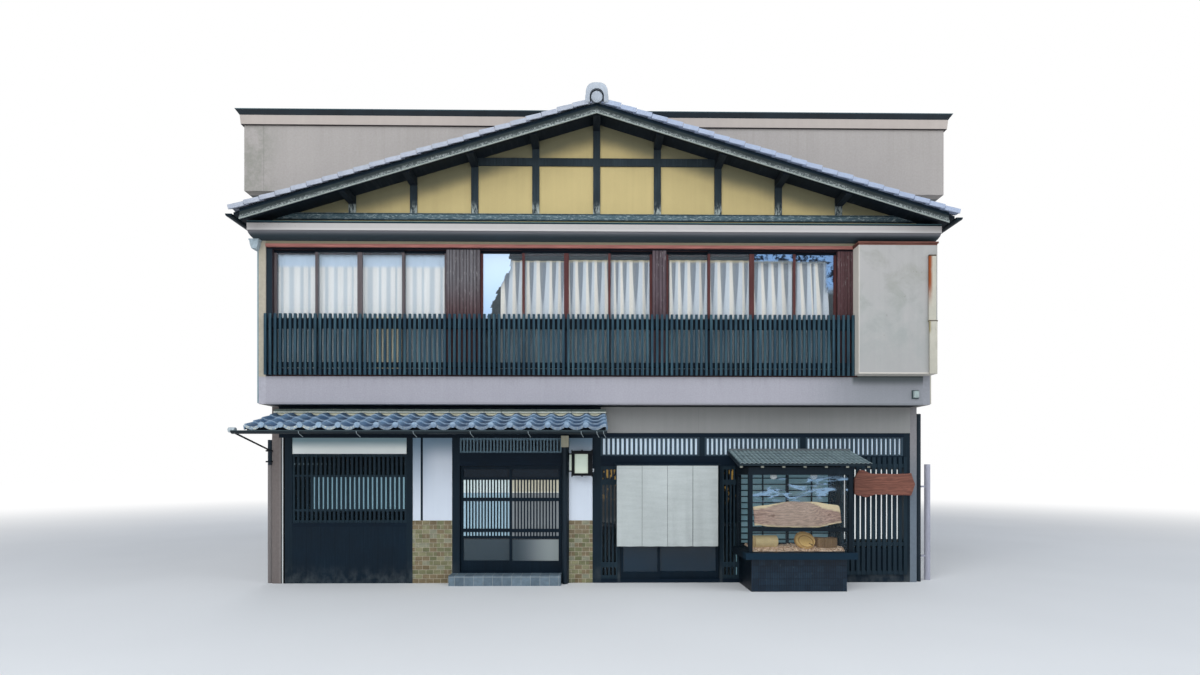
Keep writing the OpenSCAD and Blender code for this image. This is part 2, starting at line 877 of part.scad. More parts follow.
module ridge_ornament() {
    y0 = y_verge - 60;
    thick = 90;
    z_tile = ridge_z + 2 * seat + tile_t + wave_h + 6;
    base_w = ornament_w / 2;
    round_r = ornament_w * 0.47;
    lift = 6;
    foot_z = z_tile - 16;
    crown_z = foot_z + ornament_h - round_r;
    cap_w = 120;
    roll_r = 62;
    color([0.55, 0.60, 0.68]) union() {
        along_y(y0, y0 + thick) union() {
            polygon([[-base_w, z_tile + lift - slope * base_w], [0, z_tile + lift],
                [base_w, z_tile + lift - slope * base_w], [round_r, crown_z],
                [-round_r, crown_z]]);
            intersection() {
                translate([0, crown_z]) circle(r = round_r, $fn = 64);
                translate([-round_r, crown_z - 1]) square([2 * round_r, round_r + 2]);
            }
        }
        translate([0, y0 + eps, foot_z - disc_drop]) rotate([90, 0, 0])
            cylinder(r = disc_r, h = 26, $fn = 64);
        along_y(y0 + thick - eps, y_rear - cap_band_out - seat) union() {
            polygon([[-cap_w, z_tile - slope * cap_w], [0, z_tile], [cap_w, z_tile - slope * cap_w],
                [cap_w, z_tile + 50], [-cap_w, z_tile + 50]]);
            translate([0, z_tile + roll_r]) circle(r = roll_r, $fn = 48);
        }
    }
}

// Rear block

x_par = half_w + parapet_side;
par_top = attic_z + parapet_h;

module flat_roof() {
    color([0.45, 0.46, 0.46])
        box(-x_par, x_par, y_rear + parapet_t, y_back, attic_z, attic_z + roof_t);
}

module parapet_front() {
    z0 = cornice_top;
    color([0.73, 0.69, 0.66]) along_y(y_rear, y_rear + parapet_t)
        polygon([[-in_w, z0], [in_w, z0], [in_w, attic_z], [x_par, attic_z], [x_par, par_top],
            [-x_par, par_top], [-x_par, attic_z], [-in_w, attic_z]]);
}

module parapet_walls() {
    z0 = attic_z + roof_t;
    color([0.73, 0.69, 0.66]) {
        for (x = [-x_par, x_par - parapet_t])
            box(x, x + parapet_t, y_rear + parapet_t, y_back, z0, par_top);
        box(-x_par + parapet_t + seat, x_par - parapet_t - seat, y_back - parapet_t, y_back,
            z0, par_top);
    }
}

// A flared course on the parapet, cut at its corners into four pieces
module parapet_course(z0, high, reach0, reach1) {
    x0 = x_par + reach0;
    x1 = x_par + reach1;
    ya = [y_rear - reach0, y_rear - reach1];
    yb = [y_back + reach0, y_back + reach1];
    in_x = x_par - parapet_t - 20;
    in_y = [y_rear + parapet_t + 20, y_back - parapet_t - 20];
    module whole() {
        difference() {
            intersection() {
                along_y(ya[1] - eps, yb[1] + eps)
                    polygon([[-x0, z0], [x0, z0], [x1, z0 + high], [-x1, z0 + high]]);
                along_x(-x1 - eps, x1 + eps)
                    polygon([[ya[0], z0], [yb[0], z0], [yb[1], z0 + high], [ya[1], z0 + high]]);
            }
            box(-in_x, in_x, in_y[0], in_y[1], z0 - eps, z0 + high + eps);
        }
    }
    reach = x1 + 2;
    zs = [z0 - eps, z0 + high + eps];
    intersection() {
        whole();
        box(-reach, reach, ya[1] - 2, in_y[0], zs[0], zs[1]);
    }
    intersection() {
        whole();
        box(-reach, reach, in_y[1], yb[1] + 2, zs[0], zs[1]);
    }
    for (side = [-1, 1]) intersection() {
        whole();
        box(min(side * in_x, side * reach) - eps, max(side * in_x, side * reach) + eps,
            in_y[0] + seat, in_y[1] - seat, zs[0], zs[1]);
    }
}

module parapet_band() {
    color([0.73, 0.69, 0.64])
        parapet_course(par_top, cap_band_h, cap_band_out - 12, cap_band_out);
}

module parapet_cap() {
    color([0.10, 0.15, 0.18])
        parapet_course(par_top + cap_band_h, cap_h, cap_band_out, cap_band_out + cap_out);
}

// Canopy over the left half of the shop front

canopy_x0 = -half_w + canopy_left;
canopy_x1 = x_mid + canopy_right;
canopy_theta = atan(canopy_slope);
canopy_y = y_front - canopy_out;
function canopy_z(out) = canopy_eave_z + canopy_slope * (canopy_out - out);

module canopy_strip(x0, x1, out0, out1, below0, below1) {
    along_x(x0, x1) polygon([[y_front - out0, canopy_z(out0) - below0],
        [y_front - out1, canopy_z(out1) - below0], [y_front - out1, canopy_z(out1) - below1],
        [y_front - out0, canopy_z(out0) - below1]]);
}

module canopy_frame() {
    deck_in = 20;
    fascia_t = 28;
    x0 = canopy_x0 + flap_bite + 1;
    x1 = canopy_x1 - flap_bite - 1;
    count = round((x1 - x0 - rafter_w) / rafter_pitch);
    step = (x1 - x0 - rafter_w) / count;
    color([0.20, 0.23, 0.26]) union() {
        canopy_strip(x0, x1, 0, canopy_out - deck_in, 0, canopy_deck);
        for (i = [0 : count])
            canopy_strip(x0 + i * step, x0 + i * step + rafter_w, 0,
                canopy_out - 3 * deck_in, canopy_deck - eps, canopy_deck + rafter_h);
        canopy_strip(x0, x1, canopy_out - deck_in - fascia_t, canopy_out - deck_in,
            canopy_deck - eps, canopy_deck + 46);
    }
}

module canopy_tiles() {
    length = canopy_out / cos(canopy_theta) + 20;
    width = canopy_x1 - canopy_x0;
    cols = round(width / tile_w);
    step = width / cols;
    top_z = canopy_z(0) + wave_h + tile_t + 8;
    noshi = 22;
    color([0.35, 0.45, 0.57]) {
        translate([canopy_x1, y_front, canopy_z(0)]) rotate([0, 0, -90])
            translate([0, -width, 0])
                tile_field(width, length, canopy_theta, tile_w, tile_run, tile_t, wave_h,
                    flap_h, flap_h, canopy_crest);
        for (i = [0 : cols - 2])
            translate([canopy_x0 + (i + canopy_crest) * step,
                y_front - length * cos(canopy_theta) - 8, canopy_eave_z + wave_h + 14])
                rotate([90, 0, 0]) cylinder(r = eave_disc_r, h = 24, $fn = 32);
        for (k = [0, 1])
            box(canopy_x0 - 10, canopy_x1 + 10, y_front - 150 + 30 * k, y_front - seat,
                top_z + k * (noshi + seat), top_z + k * (noshi + seat) + noshi);
    }
}

// Half-round channel along X with closed ends and straps
module channel(length, r) {
    wall = 3;
    union() {
        rotate([90, 0, 90]) linear_extrude(length) difference() {
            circle(r = r);
            circle(r = r - wall);
            translate([-r - eps, 0]) square([2 * r + 2 * eps, r + eps]);
        }
        for (x = [0, length - wall]) translate([x, 0, 0]) rotate([90, 0, 90])
            linear_extrude(wall) difference() {
                circle(r = r - eps);
                translate([-r, 0]) square([2 * r, r]);
            }
    }
}

gutter_y = canopy_y + 14 - gutter_r;
gutter_z = canopy_eave_z - 28;

module gutters() {
    x0 = -half_w - 40;
    x1 = canopy_x1 + 10;
    straps = 6;
    side_y0 = y_verge + 40;
    side_z = top(half_w + eave_side) - deck_t / 2;
    side_gap = 22;
    color([0.25, 0.27, 0.28]) {
        union() {
            translate([x0, gutter_y, gutter_z]) channel(x1 - x0, gutter_r);
            for (i = [0 : straps]) {
                x = canopy_x0 + 40 + i * (canopy_x1 - canopy_x0 - 90) / straps;
                box(x, x + 16, gutter_y - gutter_r + 2, y_front - canopy_out + 20 - seat,
                    gutter_z - 4, gutter_z + 2);
            }
        }
        for (side = [0, 1]) mirror([side, 0, 0])
            translate([half_w + eave_side + side_gap + gutter_r, side_y0, side_z])
                rotate([0, 0, 90]) union() {
                    channel(y_rear - side_y0, gutter_r);
                    for (k = [0.1, 0.5, 0.9])
                        translate([k * (y_rear - side_y0), -gutter_r + 2, -4])
                            cube([16, 2 * gutter_r - 2 + side_gap - seat, 6]);
                }
    }
}

// Rain pipes stand off the wall on clips
clip_h = 30;

module pipe(x, y, z0, z1, clip_dir, reach = 0) {
    union() {
        translate([x, y, z0]) cylinder(r = pipe_r, h = z1 - z0);
        for (z = [z0 + 0.2 * (z1 - z0), z0 + 0.8 * (z1 - z0)])
            translate([x - 12 + clip_dir[0] * (pipe_r + 6) + min(0, clip_dir[0]) * reach,
                y - 12 + clip_dir[1] * (pipe_r + 6), z])
                cube([24 + reach, 24, clip_h]);
    }
}

module downpipes() {
    off = pipe_r + 18 + seat;
    mid_x = x_side1 + door_post_w / 2;
    color([0.16, 0.20, 0.24]) {
        pipe(-half_w - off, y_front + 80, 0, gutter_z - gutter_r - 30, [1, 0]);
        union() {
            pipe(mid_x, y_front - off, 0, beam_z - box_drop, [0, 1]);
            box(mid_x - rain_box / 2, mid_x + rain_box / 2, y_front - off - rain_box / 2,
                y_front - seat, beam_z - box_drop - eps, beam_z - box_drop - eps + rain_box_h);
        }
        pipe(half_w + off, y_front + 80, 0, gf_h - 100, [-1, 0]);
        pipe(half_w + off + low_pipe_out, y_front + 80 + 3 * pipe_r, 0,
            door_head_z + clip_h, [-1, 0], low_pipe_out);
        for (side = [-1, 1])
            pipe(side * (half_w + off), y_up + 160, gf_h + 30, top(half_w + eave_side) - pipe_drop,
                [-side, 0]);
    }
}

// Ground-floor front
mullion = 84;
transom_third = (x_right - x_mid) / 3;
kick_board_z = 560;

module front_posts() {
    left_posts = [[-in_w, x_bay0], [x_bay1, x_strip0], [x_strip1, x_side0], [x_side1, x_lan0]];
    color([0.12, 0.16, 0.19]) {
        for (p = left_posts) box(p[0], p[1], y_front, y_in, 0, beam_z);
        box(x_lan1, x_mid, y_front, y_in, 0, gf_h);
        box(x_wing, x_entry0, y_front, y_in, 0, door_head_z);
        box(x_entry1, x_wing2, y_front, y_in, 0, door_head_z);
        box(x_right, in_w, y_front, y_in, 0, grey_band_z);
        for (i = [1, 2]) {
            x = x_mid + i * transom_third;
            box(x - mullion / 2, x + mullion / 2, y_front, y_in, lintel_top_z, transom_top_z);
        }
    }
}

module front_rails() {
    color([0.12, 0.16, 0.19]) {
        box(-in_w, x_lan1, y_front, y_in, beam_z, gf_h);
        box(x_bay0, x_bay1, y_front, y_in, boards_z, boards_z + bay_rail_h);
        box(x_side0, x_side1, y_front, y_in, door_head_z, side_transom_z);
        box(x_mid, x_right, y_front, y_in, door_head_z, lintel_top_z);
        box(x_mid, x_right, y_front, y_in, transom_top_z, grey_band_z);
        box(x_entry0, x_entry1, y_front, y_in, 0, slab_t + track_h);
        box(x_mid, x_wing, y_front, y_in, 0, slab_t + track_h);
        box(x_wing2, x_shop0, y_front, y_in, 0, slab_t + track_h);
        box(x_side0, x_side1, y_front, y_in, step_h, step_h + track_h);
    }
}

module front_band() {
    color([0.53, 0.52, 0.52]) box(x_mid, in_w, y_front, y_in, grey_band_z, gf_h);
}

module front_boards() {
    color([0.14, 0.17, 0.20]) {
        box(x_bay0, x_bay1, y_front, y_in, 0, boards_z);
        box(x_shop0, x_shop1, y_front, y_in, 0, shop_base_h + shop_sill_h);
        box(x_shop1 + seat, x_right, y_front, y_in, 0, kick_board_z);
    }
}

module plaster_panels() {
    color([0.82, 0.84, 0.88]) {
        box(x_bay0, x_bay1, y_front + 8, y_in, bay_top_z, beam_z);
        box(x_strip0, x_strip1, y_front + 8, y_in, dado_z, beam_z);
        box(x_lan0, x_lan1, y_front + 8, y_in, dado_z, beam_z);
    }
}

module tile_dado() {
    color([0.50, 0.52, 0.28]) {
        box(x_strip0, x_strip1, y_front, y_in, 0, dado_z);
        box(x_lan0, x_lan1, y_front, y_in, 0, dado_z);
    }
}

lattice_in = 12;
y_lat = y_front + lattice_in;

module front_lattices() {
    wing_z0 = slab_t + track_h + seat;
    wing_rails = [[wing_z0, wing_z0 + 60], [wing_cross_z, wing_cross_z + wing_cross_h],
        [door_head_z - wing_cross_drop, door_head_z - wing_cross_drop + wing_cross_h],
        [door_head_z - 60, door_head_z - seat]];
    z0 = boards_z + bay_rail_h + seat;
    right_in = 40;
    right_z0 = 130;
    right_z1 = lintel_top_z - 20;
    right_top_drop = 171;
    color([0.12, 0.16, 0.20]) {
        lattice(x_bay0 + seat, x_bay1 - seat, z0, bay_top_z - seat, y_lat, bay_pitch, bay_bar,
            [[z0, z0 + 45], [z0 + bay_cross_a, z0 + bay_cross_a + bay_cross_h],
            [z0 + bay_cross_b, z0 + bay_cross_b + bay_cross_h],
            [bay_top_z - 50, bay_top_z - seat]]);
        for (x = [x_mid, x_wing2])
            lattice(x + seat, x + wing_w - seat, wing_z0, door_head_z - seat, y_lat,
                fine_pitch, fine_bar, wing_rails);
        lattice(x_shop1 + right_in, x_right + right_in, right_z0, right_z1,
            y_front - bar_t - seat, right_pitch, right_bar,
            [for (z = [right_z0, shop_base_h + shop_sill_h, right_z1 - right_top_drop])
                [z, z + right_rail_h]]);
    }
}

module transom_lattices() {
    z0 = lintel_top_z + seat;
    z1 = transom_top_z - seat;
    side_z0 = side_transom_z + seat;
    color([0.12, 0.16, 0.20]) {
        lattice(x_side0 + seat, x_side1 - seat, side_z0, beam_z - seat, y_lat, fine_pitch,
            fine_bar, [[side_z0, side_z0 + 30], [beam_z - 35, beam_z - seat]]);
        for (i = [0 : 2]) {
            xa = x_mid + i * transom_third + (i > 0 ? mullion / 2 : 0) + seat;
            xb = x_mid + (i + 1) * transom_third - (i < 2 ? mullion / 2 : 0) - seat;
            lattice(xa, xb, z0, z1, y_lat, bay_pitch, bay_bar,
                [[z0, z0 + 24], [z1 - 24, z1]]);
        }
    }
}

// Show window measures
shop_x0 = x_shop0 + shop_gap;
shop_x1 = shop_x0 + shop_w;
shop_px0 = shop_x0 - shop_post_l;
shop_px1 = shop_x1 + shop_post_r;
y_shop = y_front - shop_out;
shop_glass_z = shop_base_h + shop_sill_h;
shop_top_z = door_head_z - shop_top_drop;
shop_beam_z = shop_top_z - shop_beam_h;
y_back_grid = y_front + 40;

module ground_glass() {
    y = y_front + 70;
    wing_z0 = slab_t + track_h + seat;
    e = 2 * seat;
    pane_y = y_shop + shop_post / 2 - glass_t / 2;
    color([0.62, 0.68, 0.70, 0.4]) {
        box(x_bay0 + e, x_bay1 - e, y, y + glass_t, boards_z + bay_rail_h + e, bay_top_z - e);
        for (x = [x_mid, x_wing2])
            box(x + e, x + wing_w - e, y, y + glass_t, wing_z0, door_head_z - e);
        box(x_shop1 + e, x_right - e, y, y + glass_t, kick_board_z + e,
            door_head_z - e);
        box(x_side0 + e, x_side1 - e, y, y + glass_t, side_transom_z + e, beam_z - e);
        for (i = [0 : 2])
            box(x_mid + i * transom_third + (i > 0 ? mullion / 2 : 0) + e,
                x_mid + (i + 1) * transom_third - (i < 2 ? mullion / 2 : 0) - e, y, y + glass_t,
                lintel_top_z + e, transom_top_z - e);
        back_openings(back_floors[0])
            for (s = [0, 1])
                sash_pane(s * back_win_w / 2, (s + 1) * back_win_w / 2, 0, 0, back_win_h);
        box(shop_px0 + shop_post + e, shop_px1 - shop_post - e, pane_y, pane_y + glass_t,
            shop_glass_z + e, shop_glass_z + shop_rail_up - e);
        box(shop_px0 + shop_post + e, shop_px1 - shop_post - e, pane_y, pane_y + glass_t,
            shop_glass_z + shop_rail_up + shop_rail_h + e, shop_beam_z - e);
        for (x = [shop_px0 + shop_post / 2, shop_px1 - shop_post / 2])
            box(x - glass_t / 2, x + glass_t / 2, y_shop + shop_post + e,
                y_front - shop_post - e, shop_glass_z + e, shop_beam_z - e);
        box(x_shop0 + e, x_shop1 - e, y_back_grid + bar_t + seat,
            y_back_grid + bar_t + seat + glass_t, shop_glass_z + e, door_head_z - e);
    }
}

module door_step() {
    color([0.50, 0.49, 0.47]) {
        box(x_side0, x_side1, y_front, y_in, 0, step_h);
        box(x_strip1, x_side1, y_front - step_out, y_front - seat, 0, step_h);
    }
}

// Sliding doors: leaf centre planes of the outer and the inner track
y_out_leaf = y_front + 14;
y_in_leaf = y_out_leaf + leaf_t + leaf_gap;
side_leaf_w = (side_door_w - 2 * leaf_clear + side_lap) / 2;
side_leaf_z0 = step_h + track_h + seat;
entry_leaf_z0 = slab_t + track_h + seat;
entry_leaf_b_w = entry_w - 2 * leaf_clear + entry_lap - entry_leaf_a_w;
leaf_z1 = door_head_z - leaf_clear;

// Rails of the side door leaves, from the ground: bottom, two middle rails, top
side_rails = [[side_leaf_z0, side_kick_z], [side_cross_a, side_cross_a + side_cross_h],
    [side_cross_b, side_cross_b + side_cross_h], [leaf_z1 - 50, leaf_z1]];
side_lat_z = [side_foot_z, leaf_z1 - side_top_h];

module side_leaf(x0, y0) {
    x1 = x0 + side_leaf_w;
    xs = x0 + door_stile;
    xe = x1 - door_stile;
    step = (xe - xs) / (side_bars + 1);
    color([0.12, 0.15, 0.17]) union() {
        along_y(y0, y0 + leaf_t) union() {
            for (x = [x0, x1 - door_stile])
                translate([x, side_leaf_z0]) square([door_stile, leaf_z1 - side_leaf_z0]);
            for (r = side_rails) translate([x0, r[0]]) square([side_leaf_w, r[1] - r[0]]);
            for (z = side_lat_z) translate([x0, z - 20]) square([side_leaf_w, 40]);
        }
        for (i = [1 : side_bars])
            box(xs + i * step - side_bar / 2, xs + i * step + side_bar / 2, y0 + 4, y0 + 14,
                side_lat_z[0], side_lat_z[1]);
    }
}

module leaf_pane(x0, w, y0, z0, z1) {
    y = y0 + leaf_t - glass_t - 5;
    box(x0 + door_stile + seat, x0 + w - door_stile - seat, y, y + glass_t, z0 + seat, z1 - seat);
}

module side_panes(x0, y0) {
    color([0.62, 0.68, 0.70, 0.4]) {
        leaf_pane(x0, side_leaf_w, y0, side_rails[0][1], side_lat_z[0] - 20);
        leaf_pane(x0, side_leaf_w, y0, side_lat_z[0] + 20, side_rails[1][0]);
        leaf_pane(x0, side_leaf_w, y0, side_rails[1][1], side_rails[2][0]);
        leaf_pane(x0, side_leaf_w, y0, side_rails[2][1], side_lat_z[1] - 20);
        leaf_pane(x0, side_leaf_w, y0, side_lat_z[1] + 20, side_rails[3][0]);
    }
}

side_a_x = x_side0 + leaf_clear;
side_b_x = x_side1 - leaf_clear - side_leaf_w;

module side_leaf_left() { side_leaf(side_a_x, y_in_leaf); }
module side_leaf_left_glass() { side_panes(side_a_x, y_in_leaf); }
module side_leaf_right() { side_leaf(side_b_x, y_out_leaf); }
module side_leaf_right_glass() { side_panes(side_b_x, y_out_leaf); }

entry_rails = [[entry_leaf_z0, entry_kick_z], [entry_cross_z, entry_cross_z + entry_cross_h],
    [leaf_z1 - 60, leaf_z1]];

module entry_leaf(x0, w, y0) {
    color([0.11, 0.14, 0.17]) along_y(y0, y0 + leaf_t) union() {
        for (x = [x0, x0 + w - door_stile])
            translate([x, entry_leaf_z0]) square([door_stile, leaf_z1 - entry_leaf_z0]);
        for (r = entry_rails) translate([x0, r[0]]) square([w, r[1] - r[0]]);
    }
}

module entry_panes(x0, w, y0) {
    color([0.62, 0.68, 0.70, 0.4]) {
        leaf_pane(x0, w, y0, entry_rails[0][1], entry_rails[1][0]);
        leaf_pane(x0, w, y0, entry_rails[1][1], entry_rails[2][0]);
    }
}

entry_a_x = x_entry0 + leaf_clear;
entry_b_x = x_entry1 - leaf_clear - entry_leaf_b_w;

module entry_leaf_left() { entry_leaf(entry_a_x, entry_leaf_a_w, y_out_leaf); }
module entry_leaf_left_glass() { entry_panes(entry_a_x, entry_leaf_a_w, y_out_leaf); }
module entry_leaf_right() { entry_leaf(entry_b_x, entry_leaf_b_w, y_in_leaf); }
module entry_leaf_right_glass() { entry_panes(entry_b_x, entry_leaf_b_w, y_in_leaf); }

// Door curtain on its rod

rod_z = door_head_z + rod_r + 3;
noren_full = entry_w + 2 * noren_reach;
noren_w = (noren_full - 3 * noren_gap) / 4;
noren_x0 = x_entry0 - noren_reach - noren_shift;

module noren_rod() {
    reach = 30;
    x0 = noren_x0 - reach;
    x1 = noren_x0 + noren_full + reach;
    color([0.15, 0.13, 0.12]) union() {
        translate([x0, y_front - rod_out, rod_z]) rotate([0, 90, 0])
            cylinder(r = rod_r, h = x1 - x0);
        for (x = [x0 + 4, x1 - 16])
            box(x, x + 12, y_front - rod_out, y_front - seat, rod_z + 4, rod_z + 24);
    }
}

module noren() {
    z1 = rod_z - rod_r - seat;
    color([0.75, 0.76, 0.74])
        for (i = [0 : 3])
            box(noren_x0 + i * (noren_w + noren_gap), noren_x0 + i * (noren_w + noren_gap) + noren_w,
                y_front - rod_out - noren_t / 2, y_front - rod_out + noren_t / 2,
                z1 - noren_h, z1);
}

// Show window

module show_window_base() {
    color([0.15, 0.17, 0.18])
        box(shop_x0, shop_x1, y_shop + 40, y_front, 0, shop_base_h - seat);
}

module show_window_frame() {
    y_wall = y_front;
    xi0 = shop_px0 + shop_post;
    xi1 = shop_px1 - shop_post;
    rail_z = shop_glass_z + shop_rail_up;
    color([0.13, 0.14, 0.15]) {
        box(shop_x0 - shop_sill_side, shop_x1 + shop_sill_side, y_shop - shop_sill_out, y_wall,
            shop_base_h, shop_glass_z);
        for (x = [shop_px0, xi1], y = [y_shop, y_wall - shop_post])
            box(x, x + shop_post, y, y + shop_post, shop_glass_z + seat, shop_beam_z - seat);
        for (y = [y_shop, y_wall - shop_post])
            box(shop_px0, shop_px1, y, y + shop_post, shop_beam_z, shop_top_z);
        for (x = [shop_px0, xi1])
            box(x, x + shop_post, y_shop + shop_post + seat, y_wall - shop_post - seat,
                shop_beam_z, shop_top_z);
        box(xi0 + seat, xi1 - seat, y_shop + 10, y_shop + shop_post - 4, rail_z,
            rail_z + shop_rail_h);
    }
    color([0.20, 0.18, 0.16])
        along_y(y_back_grid, y_back_grid + bar_t) {
            z0 = shop_glass_z + seat;
            z1 = door_head_z - seat;
            rows = round((z1 - z0) / shop_grid_row);
            frame_2d(x_shop0 + seat, x_shop1 - seat, z0, z1, shop_grid_rim, shop_grid_rim,
                shop_grid_rim);
            for (i = [1 : shop_grid_cols - 1]) {
                w = 2 * i == shop_grid_cols ? shop_grid_rim : shop_grid_bar;
                translate([x_shop0 + i * shop_back_w / shop_grid_cols - w / 2, z0 + eps])
                    square([w, z1 - z0 - 2 * eps]);
            }
            for (k = [1 : rows - 1])
                translate([x_shop0 + eps, z0 + k * (z1 - z0) / rows - shop_grid_bar / 2])
                    square([shop_back_w - 2 * eps, shop_grid_bar]);
        }
}

shop_roof_x0 = shop_px0 - shop_roof_side + shop_post;
shop_roof_x1 = shop_px1 + shop_roof_side + shop_post;

module show_window_roof() {
    front = shop_out + shop_roof_out;
    y_wall = y_front - bar_t - 2;
    deck_z = shop_top_z + seat + rafter_h * 0.6 + shop_slope * (shop_out + shop_roof_out);
    function zr(out) = deck_z - shop_slope * out;
    count = round((shop_roof_x1 - shop_roof_x0) / shop_rafter_pitch);
    step = (shop_roof_x1 - shop_roof_x0 - 40) / count;
    color([0.36, 0.43, 0.50]) {
        union() {
            along_x(shop_roof_x0, shop_roof_x1) polygon([[y_wall, zr(bar_t + 2)],
                [y_front - front, zr(front)], [y_front - front, zr(front) - shop_roof_t],
                [y_wall, zr(bar_t + 2) - shop_roof_t]]);
            for (i = [0 : count])
                along_x(shop_roof_x0 + i * step, shop_roof_x0 + i * step + 40)
                    polygon([[y_wall, zr(bar_t + 2) - eps], [y_front - front + 20, zr(front) - 7],
                        [y_front - front + 20, zr(front - 20) - shop_roof_t - 30],
                        [y_shop, shop_top_z + seat], [y_wall, shop_top_z + seat]]);
        }
    }
}

module show_window_goods() {
    plank_z = shop_glass_z + shop_rail_up + shop_rail_h + seat;
    plank_x = (shop_px0 + shop_px1) / 2 - plank_left;
    plank_y = y_shop + plank_in;
    bed_z = shop_glass_z + seat;
    n = 36;
    y_goods = y_shop + goods_in;
    goods_z = bed_z + bed_h + seat;
    color([0.62, 0.47, 0.33]) {
        box(shop_px0 + shop_post + bed_gap, shop_px1 - shop_post - bed_gap,
            y_shop + bed_front, y_front - bed_back, bed_z, bed_z + bed_h);
        translate([plank_x, 0, 0]) along_y(plank_y, plank_y + plank_t)
            polygon([for (i = [0 : n - 1]) let (a = 360 * i / n,
                c = cos(a), s = sin(a),
                r = pow(pow(abs(c), 3.2) + pow(abs(s), 3.2), -1 / 3.2))
                [plank_l / 2 * c * r, plank_z + max(0, plank_h / 2 * (1 + s * r)
                    + plank_wave * sin(5 * a))]]);
        translate([shop_px0 + log_x, y_goods, goods_z + log_r]) rotate([0, 90, 0])
            cylinder(r = log_r, h = log_l);
        translate([shop_px0 + slice_x, y_goods, goods_z + slice_r * sin(slice_lean)])
            rotate([slice_lean, 0, 0]) cylinder(r = slice_r, h = slice_t);
        box(shop_px0 + block_x, shop_px0 + block_x + block_w, y_goods - log_r, y_goods + log_r,
            goods_z, goods_z + block_h);
    }
}

module lantern() {
    x0 = (x_lan0 + x_lan1) / 2 - lantern_w / 2 + 30;
    x1 = x0 + lantern_w;
    y1 = y_front - 25;
    y0 = y1 - lantern_d;
    bar = 16;
    z1 = lantern_z + lantern_h;
    cap = 45;
    color([0.10, 0.10, 0.11]) union() {
        for (x = [x0, x1 - bar], y = [y0, y1 - bar])
            box(x, x + bar, y, y + bar, lantern_z, z1 - cap + eps);
        for (z = [lantern_z, z1 - cap - bar])
            difference() {
                box(x0, x1, y0, y1, z, z + bar);
                box(x0 + bar, x1 - bar, y0 + bar, y1 - bar, z - eps, z + bar + eps);
            }
        box(x0 - 12, x1 + 12, y0 - 12, y1 + 12, z1 - cap, z1);
        box(x0 + lantern_w / 2 - 20, x0 + lantern_w / 2 + 20, y1 - bar / 2, y_front + 8 - seat,
            z1 - cap - bar - 30, z1 - cap - 2);
    }
}

ground_floor();
side_wall_left();
side_wall_right();
back_wall();
upper_floor();
upper_side_wall_left();
upper_side_wall_right();
upper_front_band();
upper_lintel();
window_frame();
window_sashes();
upper_glass();
upper_curtains();
railing();
shutter_box();
cornice();
gable_wall();
gable_frame();
bargeboards();
gable_roof_deck();
gable_tiles();
ridge_ornament();
flat_roof();
parapet_front();
parapet_walls();
parapet_band();
parapet_cap();
canopy_frame();
canopy_tiles();
gutters();
downpipes();
front_posts();
front_rails();
front_band();
front_boards();
plaster_panels();
tile_dado();
front_lattices();
transom_lattices();
ground_glass();
door_step();
side_leaf_left();
side_leaf_left_glass();
side_leaf_right();
side_leaf_right_glass();
entry_leaf_left();
entry_leaf_left_glass();
entry_leaf_right();
entry_leaf_right_glass();
noren_rod();
noren();
show_window_base();
show_window_frame();
show_window_roof();
show_window_goods();
lantern();
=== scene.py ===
"""Looks of the machiya townhouse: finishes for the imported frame, and the pieces dressed over it."""

import math
import random

import bpy
from mathutils import Matrix, Vector


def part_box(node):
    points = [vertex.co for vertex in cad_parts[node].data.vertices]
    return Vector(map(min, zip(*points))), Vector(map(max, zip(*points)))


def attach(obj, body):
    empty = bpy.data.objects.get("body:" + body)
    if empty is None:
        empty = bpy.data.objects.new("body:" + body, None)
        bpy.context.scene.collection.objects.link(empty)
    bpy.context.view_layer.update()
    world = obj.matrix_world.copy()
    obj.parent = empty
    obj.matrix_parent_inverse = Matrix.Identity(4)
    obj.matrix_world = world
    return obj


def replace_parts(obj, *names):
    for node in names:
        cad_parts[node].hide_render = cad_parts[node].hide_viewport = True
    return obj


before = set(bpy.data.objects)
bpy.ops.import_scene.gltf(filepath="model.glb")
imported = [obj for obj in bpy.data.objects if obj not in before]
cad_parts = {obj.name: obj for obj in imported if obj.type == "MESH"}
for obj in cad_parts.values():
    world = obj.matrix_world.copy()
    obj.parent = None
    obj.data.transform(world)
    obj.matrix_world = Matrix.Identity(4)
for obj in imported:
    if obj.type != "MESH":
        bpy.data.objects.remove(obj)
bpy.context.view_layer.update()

bl_info = {
    "name": "Machiya townhouse",
    "version": (1, 0, 0),
    "blender": (4, 5, 0),
    "location": "View3D > Sidebar > Townhouse",
    "description": "Dresses the frame of a machiya townhouse with tiles, timber, plaster and cloth",
    "category": "Object",
}

BODY = "house"
GABLE_SLOPE = 0.304
BAY = 1.82  # the spacing of posts and seams, one bay of the house
STOREY_FOOT = 2.86  # where the upper storey's front begins
NICHE_Z = 7.345  # the middle of the disc in the ridge-end tile
LATTICE_PITCH = 0.0737
CLOTH = 0.0008

# Scales of the wood grain along X, Y and Z: the small one runs with the fibres.
UPRIGHT = (60.0, 60.0, 2.0)
FRAME_UPRIGHT = (50.0, 50.0, 2.5)
LEVEL = (3.0, 30.0, 30.0)
FINE_LEVEL = (3.0, 40.0, 40.0)


def rgb(red, green, blue):
    """A colour that is written as eye sees it, 0 to 255, as the shader reads it."""
    return tuple(pow(value / 255.0, 2.2) for value in (red, green, blue))


# Sizes and colours


def size_setting(name, description, default, low, high):
    """A length in metres that the panel shows."""
    return bpy.props.FloatProperty(name=name, description=description, default=default, min=low,
                                   max=high, unit="LENGTH")


